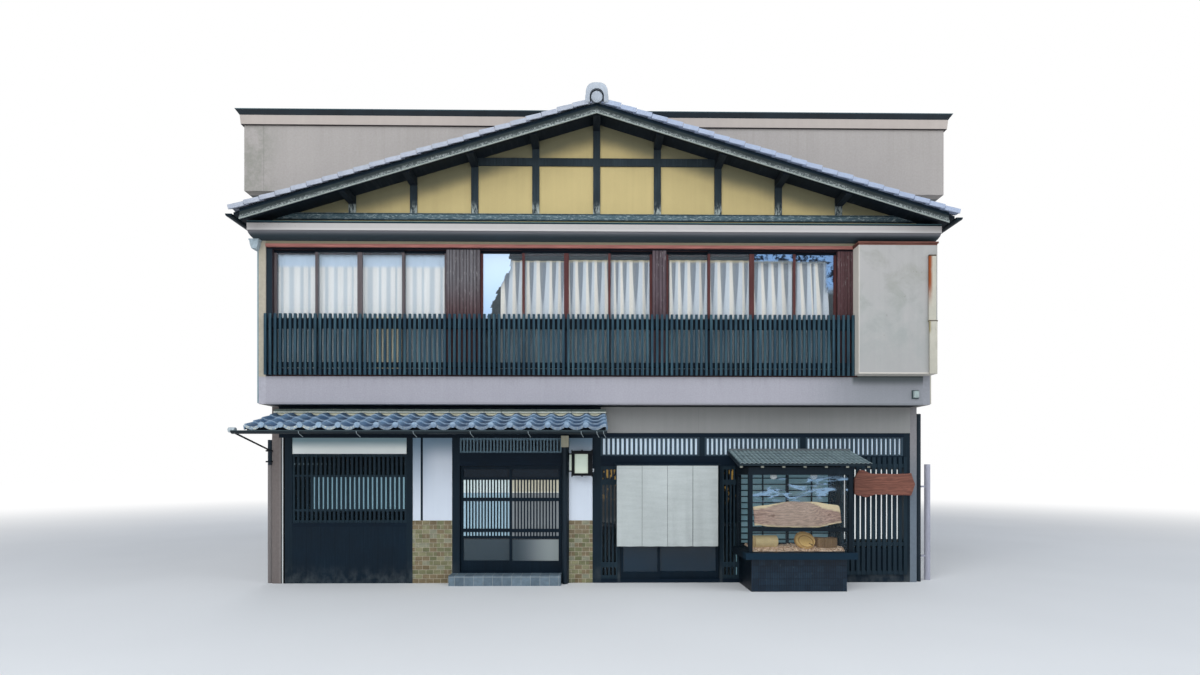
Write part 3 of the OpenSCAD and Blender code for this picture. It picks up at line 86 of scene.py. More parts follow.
def colour_setting(name, description, *colour):
    """A colour that the panel shows."""
    return bpy.props.FloatVectorProperty(name=name, description=description, subtype="COLOR",
                                         default=rgb(*colour), min=0.0, max=1.0)


class TownhouseSizes(bpy.types.PropertyGroup):
    """Sizes of the pieces dressed over the frame."""

    tile_width: size_setting("Tile width", "Visible width of a roof tile", 0.281, 0.2, 0.35)
    tile_wave: size_setting("Tile wave", "Height of the roll of a roof tile", 0.046, 0.02, 0.07)
    tile_thickness: size_setting("Tile thickness", "Thickness of a roof tile", 0.018, 0.01, 0.03)
    noren_sway: size_setting("Door curtain sway", "Depth of the folds at the curtain's foot",
                             0.011, 0.0, 0.02)
    sign_thickness: size_setting("Sign thickness", "Thickness of the bare sign board",
                                 0.035, 0.02, 0.06)
    chip_count: bpy.props.IntProperty(
        name="Wood chips", description="Number of chips on the bed of the show window",
        default=900, min=50, max=3000)


class TownhouseColours(bpy.types.PropertyGroup):
    """Colours of the finishes, as they look in plain daylight."""

    front_timber: colour_setting("Front timber", "Dark stain of the shop front", 20, 35, 48)
    railing: colour_setting("Railing", "Stain of the upper railing", 52, 79, 94)
    yellow_plaster: colour_setting("Gable plaster", "Ochre plaster of the gable", 191, 173, 124)
    white_plaster: colour_setting("White plaster", "Plaster of the shop front", 216, 224, 235)
    mauve_band: colour_setting("Front band", "Render under the upper windows", 170, 168, 176)
    rear_render: colour_setting("Rear render", "Render of the rear block", 170, 164, 160)
    blue_tile: colour_setting("Canopy tiles", "Tiles of the canopy", 62, 94, 130)
    silver_tile: colour_setting("Gable tiles", "Tiles of the gable roof", 165, 170, 190)
    noren: colour_setting("Door curtain", "Linen of the door curtain", 194, 200, 198)
    sign: colour_setting("Sign board", "Stained wood of the bare sign board", 134, 86, 70)


def sizes():
    return bpy.context.scene.townhouse_sizes


def colours():
    return bpy.context.scene.townhouse_colours


# Finishes


def rgba(colour):
    return tuple(colour)[:3] + (1.0,)


class Finish:
    """A procedural material, built node by node over the object's own metres."""

    def __init__(self, name, rough=0.6, gloss=0.3, metal=0.0):
        self.mat = bpy.data.materials.new(name)
        self.mat.use_nodes = True
        self.tree = self.mat.node_tree
        self.shader = self.tree.nodes["Principled BSDF"]
        self.shader.inputs["Roughness"].default_value = rough
        self.shader.inputs["Specular IOR Level"].default_value = gloss
        self.shader.inputs["Metallic"].default_value = metal
        self.place = self.node("TexCoord").outputs["Object"]
        cut = self.node("SeparateXYZ", {"Vector": self.place})
        self.x, self.y, self.z = cut.outputs

    def node(self, kind, inputs=None, **settings):
        made = self.tree.nodes.new("ShaderNode" + kind)
        for key, value in settings.items():
            setattr(made, key, value)
        for key, value in (inputs or {}).items():
            self.put(made.inputs[key], value)
        return made

    def put(self, socket, value):
        if isinstance(value, bpy.types.NodeSocket):
            self.tree.links.new(value, socket)
        else:
            socket.default_value = value

    def math(self, operation, first, *rest):
        """One operation on two values, or on a chain of them."""
        for second in rest or (0.0,):
            first = self.node("Math", {0: first, 1: second}, operation=operation).outputs[0]
        return first

    def both(self, first, *rest):
        return self.math("MULTIPLY", first, *rest) if rest else first

    def plus(self, *values):
        return self.math("ADD", *values)

    def less(self, *values):
        return self.math("SUBTRACT", *values)

    def most(self, *values):
        return self.math("MAXIMUM", *values)

    def wave(self, value, rate):
        return self.math("SINE", self.both(value, rate))

    def half(self, wave):
        """Brings a wave from -1 to 1 between 0 and 1."""
        return self.math("MULTIPLY_ADD", wave, 0.5)

    def distance(self, across, up):
        return self.math("SQRT", self.plus(self.both(across, across), self.both(up, up)))

    def stretch(self, scale, shift=(0.0, 0.0, 0.0)):
        return self.node("Mapping", {"Vector": self.place, "Scale": scale,
                                     "Location": shift}).outputs[0]

    def noise(self, scale, detail=4.0, rough=0.55, warp=0.0):
        """Noise at one scale, or at a scale of its own along each axis."""
        vector, size = self.place, scale
        if isinstance(scale, tuple):
            vector, size = self.stretch(scale), 1.0
        return self.node("TexNoise", {"Vector": vector, "Scale": size, "Detail": detail,
                                      "Roughness": rough, "Distortion": warp}).outputs[0]

    def ramp(self, value, stops):
        made = self.node("ValToRGB", {"Fac": value})
        points = made.color_ramp.elements
        while len(points) < len(stops):
            points.new(0.5)
        for point, (place, shade) in zip(points, stops):
            point.position = place
            point.color = (shade, shade, shade, 1.0) if isinstance(shade, float) else rgba(shade)
        return made.outputs[0]

    def grow(self, value, low, high):
        """Goes evenly from 0 at low to 1 at high."""
        return self.ramp(value, [(low, 0.0), (high, 1.0)])

    def bricks(self, across, up, first, second, joint, wide, tall, **more):
        """Rows of tiles in two colours with joints between them."""
        place = self.node("CombineXYZ", {"X": across, "Y": up}).outputs[0]
        settings = {"Vector": place, "Color1": rgba(first), "Color2": rgba(second), "Scale": 1.0,
                    "Mortar": rgba(joint), "Brick Width": wide, "Row Height": tall}
        return self.node("TexBrick", {**settings, **more})

    def rise(self, value, low, high):
        """Goes smoothly from 0 at low to 1 at high."""
        return self.node("MapRange", {"Value": value, "From Min": low, "From Max": high},
                         interpolation_type="SMOOTHSTEP").outputs[0]

    def band(self, value, low, high, soft=0.005):
        """Is 1 between low and high."""
        up = self.rise(value, low - soft, low + soft)
        down = self.rise(value, high + soft, high - soft)
        return self.both(up, down)

    def mix(self, factor, first, second, blend="MIX"):
        made = self.node("Mix", data_type="RGBA", blend_type=blend)
        self.put(made.inputs[0], factor)
        for socket, value in ((made.inputs[6], first), (made.inputs[7], second)):
            self.put(socket, value if isinstance(value, bpy.types.NodeSocket) else rgba(value))
        return made.outputs[2]

    def shade(self, colour, amount, value, spread=(0.35, 0.65)):
        """Lightens and darkens a colour by a value's ups and downs."""
        tone = self.ramp(value, [(spread[0], 1.0 - amount), (spread[1], 1.0)])
        return self.mix(1.0, colour, tone, "MULTIPLY")

    def lay(self, colour, *masks):
        """Lays a colour over the base colour where all the masks are 1."""
        self.base = self.mix(self.both(*masks), self.base, colour)

    def cloud(self, amount, value, spread=(0.35, 0.65)):
        self.base = self.shade(self.base, amount, value, spread)

    def tone(self, name="tone"):
        return self.node("Attribute", attribute_name=name).outputs["Fac"]

    def cells(self, step, shift=(0.0, 0.0, 0.0)):
        """A chance number for each cell of a grid of the given steps."""
        scale = tuple(0.0 if s == 0.0 else 1.0 / s for s in step)
        vector = self.stretch(scale, shift=shift)
        whole = self.node("VectorMath", {0: vector}, operation="FLOOR").outputs[0]
        return self.node("TexWhiteNoise", {"Vector": whole}, noise_dimensions="3D").outputs[0]

    def lines(self, value, step, width, start=0.0):
        """Is 1 on thin lines at even steps, 0 between them."""
        moved = self.less(value, start - width / 2)
        part = self.math("PINGPONG", self.less(moved, width / 2), step / 2)
        return self.rise(part, width / 2 * 1.4, width / 2 * 0.6)

    def roof_line(self):
        """Height brought to the ridge along the gable's slope."""
        return self.plus(self.z, self.both(self.math("ABSOLUTE", self.x), GABLE_SLOPE))

    def bump(self, height, depth=0.004, strength=0.6):
        made = self.node("Bump", {"Height": height, "Distance": depth, "Strength": strength})
        if self.shader.inputs["Normal"].is_linked:
            self.put(made.inputs["Normal"], self.shader.inputs["Normal"].links[0].from_socket)
        self.put(self.shader.inputs["Normal"], made.outputs[0])

    def set(self, **values):
        for key, value in values.items():
            socket = self.shader.inputs[key.replace("_", " ")]
            if key == "Base_Color" and not isinstance(value, bpy.types.NodeSocket):
                value = rgba(value)
            self.put(socket, value)
        return self.mat

    def done(self, glow=0.0, **values):
        """Sets the base colour, and lets it glow a little where asked."""
        if glow:
            values.update(Emission_Color=self.base, Emission_Strength=glow)
        return self.set(Base_Color=self.base, **values)


def plain(name, colour, amount, scale, detail=3, rough=0.5, metal=0.0):
    """One colour, made a little uneven by noise."""
    f = Finish(name, rough, 0.4, metal)
    f.base = f.shade(colour, amount, f.noise(scale, detail))
    return f.done()


def coat(material, *names):
    """Gives CAD nodes or new pieces a material."""
    for name in names:
        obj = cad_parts.get(name) if isinstance(name, str) else name
        if obj is None:
            raise RuntimeError("no node is called %s" % name)
        if not obj.material_slots:
            obj.data.materials.append(material)
        for slot in obj.material_slots:
            slot.material = material


def timber(name, colour, grain=(55.0, 55.0, 2.2), worn_amount=0.25, gloss=0.18,
           vary=0.35, bare=(0.19, 0.2, 0.21)):
    """Stained wood with grain along the stretched axis, worn pale where it weathers."""
    f = Finish(name, 0.62, gloss)
    fibre = f.noise(grain, 6.0, 0.65)
    cloud = f.noise(2.3, 3)
    fine = f.noise(38, 2)
    f.base = f.shade(colour, vary, fibre, (0.3, 0.7))
    f.cloud(vary * 0.8, cloud, (0.3, 0.72))
    pale = f.both(f.grow(fibre, 0.52, 0.8), f.grow(cloud, 0.42, 0.75))
    f.lay(bare, pale, worn_amount)
    f.bump(f.plus(fibre, f.both(fine, 0.25)), 0.0025, 0.55)
    f.set(Roughness=f.ramp(cloud, [(0.2, 0.52), (0.8, 0.74)]))
    return f


def mortar(name, colour, grain=90.0, vary=0.12, streak=0.12):
    """Trowelled render with fine sand, soft clouds and rain streaks."""
    f = Finish(name, 0.85, 0.2)
    sand = f.noise(grain, 3.0)
    cloud = f.noise(1.1, 5, 0.6)
    run = f.noise((11, 11, 0.3), 4, 0.6)
    f.base = f.shade(colour, vary, cloud, (0.25, 0.75))
    f.cloud(vary * 0.5, sand, (0.2, 0.8))
    f.cloud(streak, run, (0.35, 0.7))
    f.bump(sand, 0.0016, 0.5)
    f.bump(cloud, 0.01, 0.25)
    return f


def upper_finishes():
    """Finishes of the upper storey, the gable and the rear block."""
    c = colours()

    f = mortar("gable_plaster", c.yellow_plaster, vary=0.12, streak=0.06)
    # Painted shadow of the roof: a dark grey-green band under the bargeboard, with a ragged lower edge.
    drop = f.roof_line()
    ragged_shadow_line = f.plus(drop, f.both(f.noise(1.4), 0.16))
    f.lay(rgb(78, 84, 74), f.rise(ragged_shadow_line, 6.93, 7.2), 0.78)
    foot = f.rise(f.z, 5.95, 5.72)
    f.lay(rgb(168, 158, 112), foot, 0.3)
    coat(f.done(), "gable_wall")

    f = timber("gable_posts", rgb(52, 62, 68), worn_amount=0.2, vary=0.4, bare=rgb(96, 106, 108))
    chips = f.grow(f.noise((26, 26, 7), 5, 0.7), 0.45, 0.58)
    f.lay(rgb(150, 158, 154), f.rise(f.z, 6.06, 5.86), chips)
    beam = f.rise(f.z, 5.845, 5.835)
    f.lay(f.shade(rgb(84, 104, 112), 0.4, f.noise((3, 3, 60))), beam)
    flake = f.grow(f.noise((14, 14, 50), 6, 0.75), 0.52, 0.62)
    f.lay(rgb(166, 180, 182), beam, flake, 0.7)
    edges = f.most(f.rise(f.z, 5.75, 5.744), f.band(f.z, 5.82, 5.834, 0.003))
    f.lay(rgb(18, 30, 37), edges, beam, 0.8)
    coat(f.done(), "gable_frame")

    f = timber("bargeboard_paint", rgb(60, 68, 68), (3.0, 20.0, 30.0), worn_amount=0.25,
               bare=rgb(100, 108, 104))
    drop = f.roof_line()
    f.lay(rgb(20, 33, 42), f.rise(drop, 7.245, 7.262))
    chip = f.noise((34, 34, 38), 7, 0.85)
    tall = f.noise(1.2, 3)
    reach = f.plus(7.18, f.both(tall, 0.055))
    inside = f.rise(f.less(drop, reach), 0.02, -0.02)
    flake = f.both(inside, f.grow(chip, 0.5, 0.56))
    f.lay(rgb(104, 112, 112), inside, 0.35)
    f.lay(rgb(176, 182, 180), flake, 0.7)
    line = f.both(f.rise(drop, 7.160, 7.154), f.ramp(chip, [(0.4, 0.5), (0.5, 1.0)]))
    f.lay(rgb(150, 158, 154), line)
    # Painted shade: every face behind the bargeboard's front face is drawn dark.
    front = f.rise(f.y, -5.362, -5.366)
    f.base = f.mix(front, rgb(16, 25, 34), f.base)
    coat(f.done(), "bargeboards")

    f = timber("roof_boards", rgb(34, 42, 50), (25.0, 3.0, 25.0), worn_amount=0.2)
    coat(f.done(), "gable_roof_deck")

    f = mortar("cornice_plaster", rgb(180, 176, 174), vary=0.08, streak=0.03)
    f.lay(rgb(184, 181, 179), f.rise(f.z, 5.53, 5.485))
    speck = f.grow(f.noise(40, 5, 0.7), 0.62, 0.7)
    moss = f.both(speck, f.rise(f.z, 5.50, 5.56), f.rise(f.x, -3.6, -4.6))
    f.lay(rgb(70, 84, 70), moss, 0.8)
    # Painted shade on the cove's underside, darkest near the wall.
    under = f.mix(f.rise(f.z, 5.420, 5.474), rgb(58, 68, 74), rgb(112, 112, 116))
    f.lay(under, f.rise(f.z, 5.48, 5.474))
    flashing = f.mix(f.rise(f.z, 5.602, 5.606), rgb(26, 42, 48), rgb(76, 104, 110))
    f.lay(flashing, f.rise(f.z, 5.58, 5.584))
    coat(f.done(), "cornice")

    f = mortar("lintel_plaster", rgb(152, 144, 122), vary=0.12, streak=0.06)
    coat(f.done(), "upper_lintel")

    f = mortar("front_band_render", c.mauve_band, vary=0.06, grain=70.0, streak=0.04)
    speck = f.ramp(f.noise(46, 4, 0.7), [(0.3, 0.84), (0.7, 1.0)])
    f.base = f.mix(1.0, f.base, speck, "MULTIPLY")
    drip = f.both(f.rise(f.z, 3.05, 3.32), f.grow(f.noise((16, 16, 0.5)), 0.52, 0.75))
    f.lay(rgb(118, 116, 118), drip, 0.25)
    lip = f.rise(f.z, 2.905, 2.885)
    f.lay(rgb(120, 120, 124), lip, 0.35)
    # Painted shade of the shutter box: the band darkens towards the box, and most right under it.
    f.lay(rgb(108, 116, 118), f.rise(f.x, 2.9, 4.4), 0.5)
    under = f.both(f.rise(f.x, 4.0, 4.06), f.rise(f.z, 3.14, 3.27), 0.7)
    f.lay(rgb(58, 68, 68), under)
    coat(f.done(), "upper_front_band")

    f = timber("window_timber", rgb(88, 64, 64), FRAME_UPRIGHT, worn_amount=0.25,
               bare=rgb(132, 100, 96), vary=0.35)
    # Painted shade: the frame above the sashes, under the red strip, is near black.
    head = f.rise(f.z, 5.2895, 5.2905)
    f.lay(rgb(12, 20, 29), head)
    strip = f.shade(rgb(176, 116, 108), 0.3, f.noise((3, 3, 50)))
    f.lay(strip, f.rise(f.z, 5.3148, 5.3154))
    jamb = f.both(f.rise(f.x, -5.058, -5.062), f.rise(f.z, 5.291, 5.289))
    f.lay(rgb(36, 46, 54), jamb)
    for low, high, top, foot in ((-2.357, -1.827, rgb(116, 114, 118), rgb(92, 70, 72)),
                                 (0.877, 1.098, rgb(106, 94, 100), rgb(96, 80, 86)),
                                 (3.801, 4.117, rgb(104, 76, 78), rgb(92, 64, 66))):
        panel = f.both(f.band(f.x, low, high, 0.002), f.band(f.z, 3.345, 5.29, 0.002))
        plank = f.mix(f.rise(f.z, 4.2, 4.9), foot, top)
        plank = f.mix(f.both(f.cells((0.0265, 0.0, 0.0)), 0.5), plank, rgb(60, 48, 50))
        plank = f.mix(f.both(f.lines(f.x, 0.053, 0.012, low), 0.7), plank, rgb(36, 30, 33))
        plank = f.shade(plank, 0.4, f.noise((70, 70, 2.2), 6, 0.7), (0.34, 0.66))
        worn = f.grow(f.noise((60, 60, 9), 5, 0.7), 0.58, 0.7)
        plank = f.mix(f.both(worn, f.rise(f.z, 3.9, 5.0), 0.5), plank, rgb(168, 166, 164))
        f.lay(plank, panel)
    coat(f.done(), "window_frame")

    f = timber("sash_timber", rgb(98, 62, 61), FRAME_UPRIGHT, worn_amount=0.3,
               bare=rgb(142, 112, 108), vary=0.35)
    sheer_side = f.rise(f.x, -2.34, -2.38)
    grey = f.shade(rgb(98, 90, 92), 0.3, f.noise((50, 50, 2.5), 5), (0.3, 0.7))
    f.lay(grey, sheer_side)
    # Painted shade: the sashes' top rails are near black, and their fronts darken below the railing's
    # top.
    f.lay(rgb(12, 20, 28), f.rise(f.z, 5.247, 5.251), f.rise(f.y, 0.0, -1.0))
    f.lay(rgb(44, 58, 68), f.rise(f.z, 4.25, 4.2), f.rise(f.y, 0.0, -1.0), 0.75)
    coat(f.done(), "window_sashes")

    f = timber("railing_stain", c.railing, (42.0, 42.0, 1.4), worn_amount=0.35, bare=rgb(92, 112, 118),
               vary=0.45, gloss=0.25)
    slat = f.cells((0.0767, 0.0, 0.0), (0.12, 0.0, 0.0))
    f.lay(rgb(30, 52, 66), slat, 0.6)
    streak = f.both(f.grow(f.noise((90, 90, 1), 3), 0.5, 0.68), 0.55)
    f.lay(rgb(84, 116, 124), streak)
    # Painted shade: the rails behind the slats are near black.
    f.lay(rgb(9, 18, 26), f.rise(f.y, -4.9566, -4.9561))
    coat(f.done(), "railing")

    f = mortar("shutter_box_sheet", rgb(173, 171, 169), vary=0.07, streak=0.05)
    cloud = f.noise(2.6, 6, 0.68, 0.4)
    stain = f.both(f.grow(cloud, 0.5, 0.66), f.rise(f.z, 3.6, 4.6))
    f.lay(rgb(142, 144, 134), stain, 0.5)
    spot = f.grow(f.noise(7, 4, 0.6), 0.68, 0.74)
    f.lay(rgb(120, 118, 106), spot, 0.45)
    lower = f.both(f.grow(cloud, 0.35, 0.7), f.band(f.z, 3.5, 4.5, 0.5))
    f.lay(rgb(138, 148, 144), lower, 0.5)
    edge = f.most(f.rise(f.x, 4.052, 4.046), f.band(f.z, 3.326, 3.345, 0.003))
    f.lay(rgb(204, 198, 188), edge)
    # Painted shade under the box: its lowest strip is dark.
    f.lay(rgb(64, 72, 70), f.rise(f.z, 3.322, 3.316))
    cap = f.shade(rgb(112, 76, 68), 0.35, f.noise((4, 4, 50)))
    f.lay(cap, f.rise(f.z, 5.308, 5.312))
    coat(f.done(), "shutter_box")

    f = mortar("rear_render", c.rear_render, vary=0.08, streak=0.03, grain=64.0)
    speck = f.ramp(f.noise(30, 5, 0.72), [(0.3, 0.88), (0.7, 1.0)])
    f.base = f.mix(1.0, f.base, speck, "MULTIPLY")
    fine = f.grow(f.noise((14, 14, 0.4), 5, 0.6), 0.5, 0.78)
    f.lay(rgb(136, 132, 124), fine, f.rise(f.z, 6.7, 7.45), 0.3)
    patch = f.grow(f.noise((2.6, 2.6, 2.08), 8, 0.78), 0.44, 0.6)
    side = f.both(f.rise(f.x, -5.0, -5.6), 0.8)
    near = f.rise(f.roof_line(), 7.95, 7.45)
    mould = f.both(patch, f.most(side, f.both(near, 0.7)), f.rise(f.y, -4.3, -4.45))
    f.lay(rgb(122, 124, 114), mould, 0.7)
    joint = f.both(f.band(f.x, -5.447, -5.439, 0.002), f.rise(f.y, -4.30, -4.45))
    f.lay(rgb(104, 100, 98), joint, 0.5)
    coat(f.done(), "parapet_front", "parapet_walls", "back_wall")

    f = mortar("parapet_band_render", rgb(180, 170, 163), vary=0.07, streak=0.05)
    f.lay(rgb(70, 66, 66), f.rise(f.z, 7.482, 7.477))
    coat(f.done(), "parapet_band")

    f = Finish("parapet_cap_sheet", 0.45, 0.4)
    cloud = f.noise(2)
    f.base = f.shade(rgb(26, 38, 46), 0.4, cloud)
    f.lay(rgb(66, 92, 100), f.rise(f.z, 7.683, 7.69))
    seam = f.both(f.lines(f.x, BAY, 0.012), f.rise(f.math("ABSOLUTE", f.x), 5.7, 5.65))
    f.lay(rgb(16, 22, 26), seam, 0.6)
    f.bump(cloud, 0.004, 0.2)
    coat(f.done(), "parapet_cap")

    f = mortar("roof_felt", rgb(126, 128, 128), vary=0.2, streak=0.0, grain=160.0)
    lap = f.lines(f.y, 1.0, 0.012)
    f.lay(rgb(86, 88, 88), lap, 0.5)
    puddle = f.grow(f.noise(0.8), 0.52, 0.6)
    f.lay(rgb(96, 98, 94), puddle, 0.35)
    coat(f.done(), "flat_roof")

    f = mortar("side_boarding", rgb(150, 146, 142), vary=0.12, streak=0.12)
    groove = f.lines(f.y, 0.15, 0.008)
    lap = f.lines(f.z, BAY, 0.006, 1.02)
    behind = f.rise(f.y, -4.90, -4.88)
    f.bump(f.less(1.0, f.both(groove, behind)), 0.006, 0.6)
    f.lay(rgb(84, 82, 82), f.most(groove, lap), behind, 0.55)
    board = f.cells((0.0, 0.15, 0.0))
    f.cloud(0.08, board, (0.0, 1.0))
    damp = f.both(f.rise(f.z, 0.7, 0.05), f.grow(f.noise(3), 0.35, 0.6))
    f.lay(rgb(96, 98, 92), damp, 0.5)
    upper = f.rise(f.z, STOREY_FOOT, STOREY_FOOT + 0.01)
    ledge = f.both(f.rise(f.y, -4.543, -4.548), f.rise(f.z, STOREY_FOOT + 0.01, STOREY_FOOT))
    front = f.most(f.rise(f.y, -4.908, -4.913), ledge)
    right = f.mix(f.rise(f.z, 1.2, 2.4), rgb(112, 122, 132), rgb(132, 130, 132))
    ends = f.mix(f.rise(f.x, -0.1, 0.1), rgb(118, 110, 107), right)
    ends = f.mix(upper, ends, c.mauve_band)
    # Painted shade of the shutter box, carried onto the front edge of the upper right wall.
    ends = f.mix(f.both(upper, f.rise(f.x, 4.9, 5.0), 0.5), ends, rgb(108, 116, 118))
    pale = f.both(f.rise(f.z, 3.27, 3.31), f.rise(f.x, 0.1, -0.1))
    ends = f.mix(pale, ends, rgb(172, 164, 148))
    ends = f.shade(ends, 0.14, f.noise(20), (0.3, 0.7))
    f.lay(ends, front)
    coat(f.done(), "side_wall_left", "side_wall_right", "upper_side_wall_left", "upper_side_wall_right")

    f = timber("floor_boards", rgb(120, 96, 72), FINE_LEVEL, worn_amount=0.1)
    gap = f.lines(f.y, 0.12, 0.004)
    f.lay(rgb(30, 24, 20), gap)
    # Painted shade: the front part of the boards, behind the railing, is near black.
    f.lay(rgb(16, 25, 32), f.rise(f.y, -4.45, -4.5))
    coat(f.done(), "upper_floor")


def glass(name, tint, clear=0.9):
    """Window glass: clear to the eye, with the sky's gloss on it."""
    f = Finish(name, 0.03, 0.5)
    f.set(Base_Color=tint, Alpha=1.0 - clear, IOR=1.5)
    f.bump(f.noise(2.2, 2), 0.02, 0.06)
    return f


def ground_finishes():
    """Finishes of the shop front and of the ground floor."""
    c = colours()

    f = timber("front_stain", rgb(30, 44, 54), UPRIGHT, worn_amount=0.14, vary=0.3,
               bare=rgb(74, 88, 96))
    foot = f.both(f.rise(f.z, 0.42, 0.0), f.grow(f.noise((8, 8, 5), 5), 0.35, 0.7))
    f.lay(rgb(92, 98, 100), foot, 0.4)
    strip = f.shade(rgb(124, 116, 113), 0.14, f.noise(20), (0.3, 0.7))
    f.lay(rgb(4, 10, 15), f.rise(f.x, -5.05, -5.052))
    f.lay(rgb(196, 200, 198), f.rise(f.x, -5.08, -5.082))
    f.lay(rgb(66, 64, 64), f.rise(f.x, -5.098, -5.1))
    f.lay(strip, f.rise(f.x, -5.116, -5.118))
    coat(f.done(), "front_posts", "noren_rod")

    f = timber("front_beam_stain", c.front_timber, (2.0, 60.0, 60.0), worn_amount=0.2, vary=0.3,
               bare=rgb(66, 82, 92))
    coat(f.done(), "front_rails")

    f = timber("lattice_stain", rgb(42, 58, 68), UPRIGHT, worn_amount=0.25, vary=0.35,
               bare=rgb(88, 104, 114))
    bar_tone = f.cells((LATTICE_PITCH, 0.0, 0.0))
    f.lay(rgb(28, 42, 52), bar_tone, 0.4)
    nail = f.both(f.band(f.z, 1.928, 1.948, 0.004), f.lines(f.x, LATTICE_PITCH, 0.02, -4.9),
                  f.rise(f.x, -3.0, -3.1))
    f.lay(rgb(150, 170, 178), nail, 0.6)
    coat(f.done(), "front_lattices")

    f = timber("transom_stain", rgb(66, 82, 94), UPRIGHT, worn_amount=0.25, vary=0.35,
               bare=rgb(88, 104, 114))
    f.lay(rgb(104, 128, 142), f.rise(f.x, -0.4, -0.5), f.rise(f.y, -4.5, -4.52), 0.8)
    coat(f.done(), "transom_lattices")

    f = timber("board_stain", rgb(25, 40, 52), UPRIGHT, worn_amount=0.18, vary=0.3,
               bare=rgb(66, 82, 90))
    bay = f.rise(f.x, -3.05, -3.1)
    groove = f.both(f.lines(f.x, 0.231, 0.006, -4.936), bay)
    f.lay(rgb(10, 17, 24), groove, 0.5)
    ledge = f.both(f.band(f.z, 0.975, 1.02, 0.004), bay)
    f.lay(rgb(84, 100, 106), ledge, 0.7)
    splash = f.both(f.rise(f.z, 0.35, 0.0), f.grow(f.noise((9, 9, 6), 5), 0.4, 0.7))
    f.lay(rgb(92, 98, 100), splash, 0.4)
    coat(f.done(), "front_boards")

    f = timber("door_stain", rgb(22, 36, 47), UPRIGHT, worn_amount=0.16, vary=0.3,
               bare=rgb(66, 80, 90))
    coat(f.done(), "side_leaf_left", "side_leaf_right", "entry_leaf_left", "entry_leaf_right")

    f = mortar("white_plaster", c.white_plaster, vary=0.04, grain=150.0, streak=0.03)
    shade = f.rise(f.z, 1.95, 2.36)
    f.lay(rgb(92, 124, 146), shade, 0.85)
    # Painted shade in the panel's left corner, darker towards the top and the left.
    corner = f.both(f.rise(f.x, -2.58, -2.90), f.rise(f.z, 1.1, 2.3), f.rise(f.x, -3.05, -3.0))
    f.lay(rgb(120, 146, 166), corner, 0.6)
    batten = f.both(f.band(f.x, -2.862, -2.826, 0.003), f.rise(f.z, 1.0, 1.02))
    f.lay(rgb(16, 28, 38), batten)
    bay = f.rise(f.x, -3.05, -3.1)
    # Painted shade of the canopy on the strip above the bay, dark at its top.
    strip = f.mix(f.rise(f.z, 2.33, 2.16), rgb(136, 162, 170), rgb(246, 251, 247))
    f.lay(strip, bay)
    coat(f.done(), "plaster_panels")

    f = mortar("grey_band_render", rgb(142, 142, 140), vary=0.08, grain=90.0, streak=0.05)
    seam = f.lines(f.x, BAY, 0.005, 1.67)
    f.lay(rgb(96, 96, 96), seam, 0.3)
    coat(f.done(), "front_band")

    f = Finish("dado_tiles", 0.26, 0.5)
    brick = f.bricks(f.x, f.z, rgb(142, 138, 104), rgb(96, 100, 66), rgb(188, 178, 156),
                     0.118, 0.0728, Bias=-0.1, **{"Mortar Size": 0.0035, "Mortar Smooth": 0.1})
    kiln = f.cells((0.118, 0.0, 0.0728))
    joint = brick.outputs["Fac"]
    glazed = f.less(1.0, joint)
    f.base = brick.outputs["Color"]
    f.lay(rgb(124, 96, 74), f.rise(kiln, 0.62, 0.66), glazed, 0.55)
    f.lay(rgb(150, 150, 132), f.rise(kiln, 0.2, 0.16), glazed, 0.6)
    f.cloud(0.4, f.noise((10, 10, 30), 4, 0.7), (0.3, 0.7))
    f.bump(glazed, 0.004, 0.8)
    coat(f.done(Roughness=f.ramp(joint, [(0.0, 0.24), (1.0, 0.85)])), "tile_dado")

    f = Finish("step_tiles", 0.5, 0.4)
    brick = f.bricks(f.x, f.plus(f.y, f.z), rgb(112, 130, 142), rgb(92, 108, 120),
                     rgb(150, 158, 160), 0.15, 0.15, **{"Mortar Size": 0.004})
    brick.offset = 0.0
    f.base = f.shade(brick.outputs["Color"], 0.3, f.noise(14, 5), (0.3, 0.7))
    f.bump(f.less(1.0, brick.outputs["Fac"]), 0.004, 0.6)
    coat(f.done(), "door_step")

    f = mortar("floor_slab", rgb(130, 128, 124), vary=0.15)
    coat(f.done(), "ground_floor")

    f = Finish("base_ribbed_tiles", 0.4, 0.35)
    rib = f.math("PINGPONG", f.x, 0.0075)
    side = f.math("PINGPONG", f.y, 0.0075)
    row = f.lines(f.z, 0.0985, 0.005)
    joint = f.lines(f.x, 0.098, 0.004, 2.335)
    tile = f.cells((0.098, 0.098, 0.0985))
    f.base = f.mix(tile, rgb(20, 37, 52), rgb(30, 50, 66))
    rib_line = f.most(f.lines(f.x, 0.0355, 0.009, 2.335), f.lines(f.y, 0.0355, 0.009))
    f.lay(rgb(8, 16, 22), rib_line, 0.6)
    fleck = f.grow(f.noise((30, 30, 9), 4, 0.75), 0.66, 0.72)
    f.lay(rgb(112, 130, 134), fleck, 0.55)
    f.lay(rgb(12, 20, 28), f.most(row, joint), 0.5)
    f.cloud(0.25, f.noise(20))
    f.bump(f.plus(rib, side), 0.5, 0.6)
    f.bump(f.less(1.0, row), 0.003, 0.5)
    coat(f.done(), "show_window_base")

    f = timber("shop_window_stain", rgb(30, 40, 48), (60.0, 60.0, 2.2), worn_amount=0.15,
               bare=rgb(70, 84, 92))
    sill = f.band(f.z, 0.44, 0.60, 0.004)
    f.lay(rgb(24, 44, 58), sill, f.rise(f.y, -5.2, -5.24))
    coat(f.done(), "show_window_frame")

    coat(plain("lantern_iron", rgb(20, 21, 23), 0.35, 30, metal=0.6), "lantern")

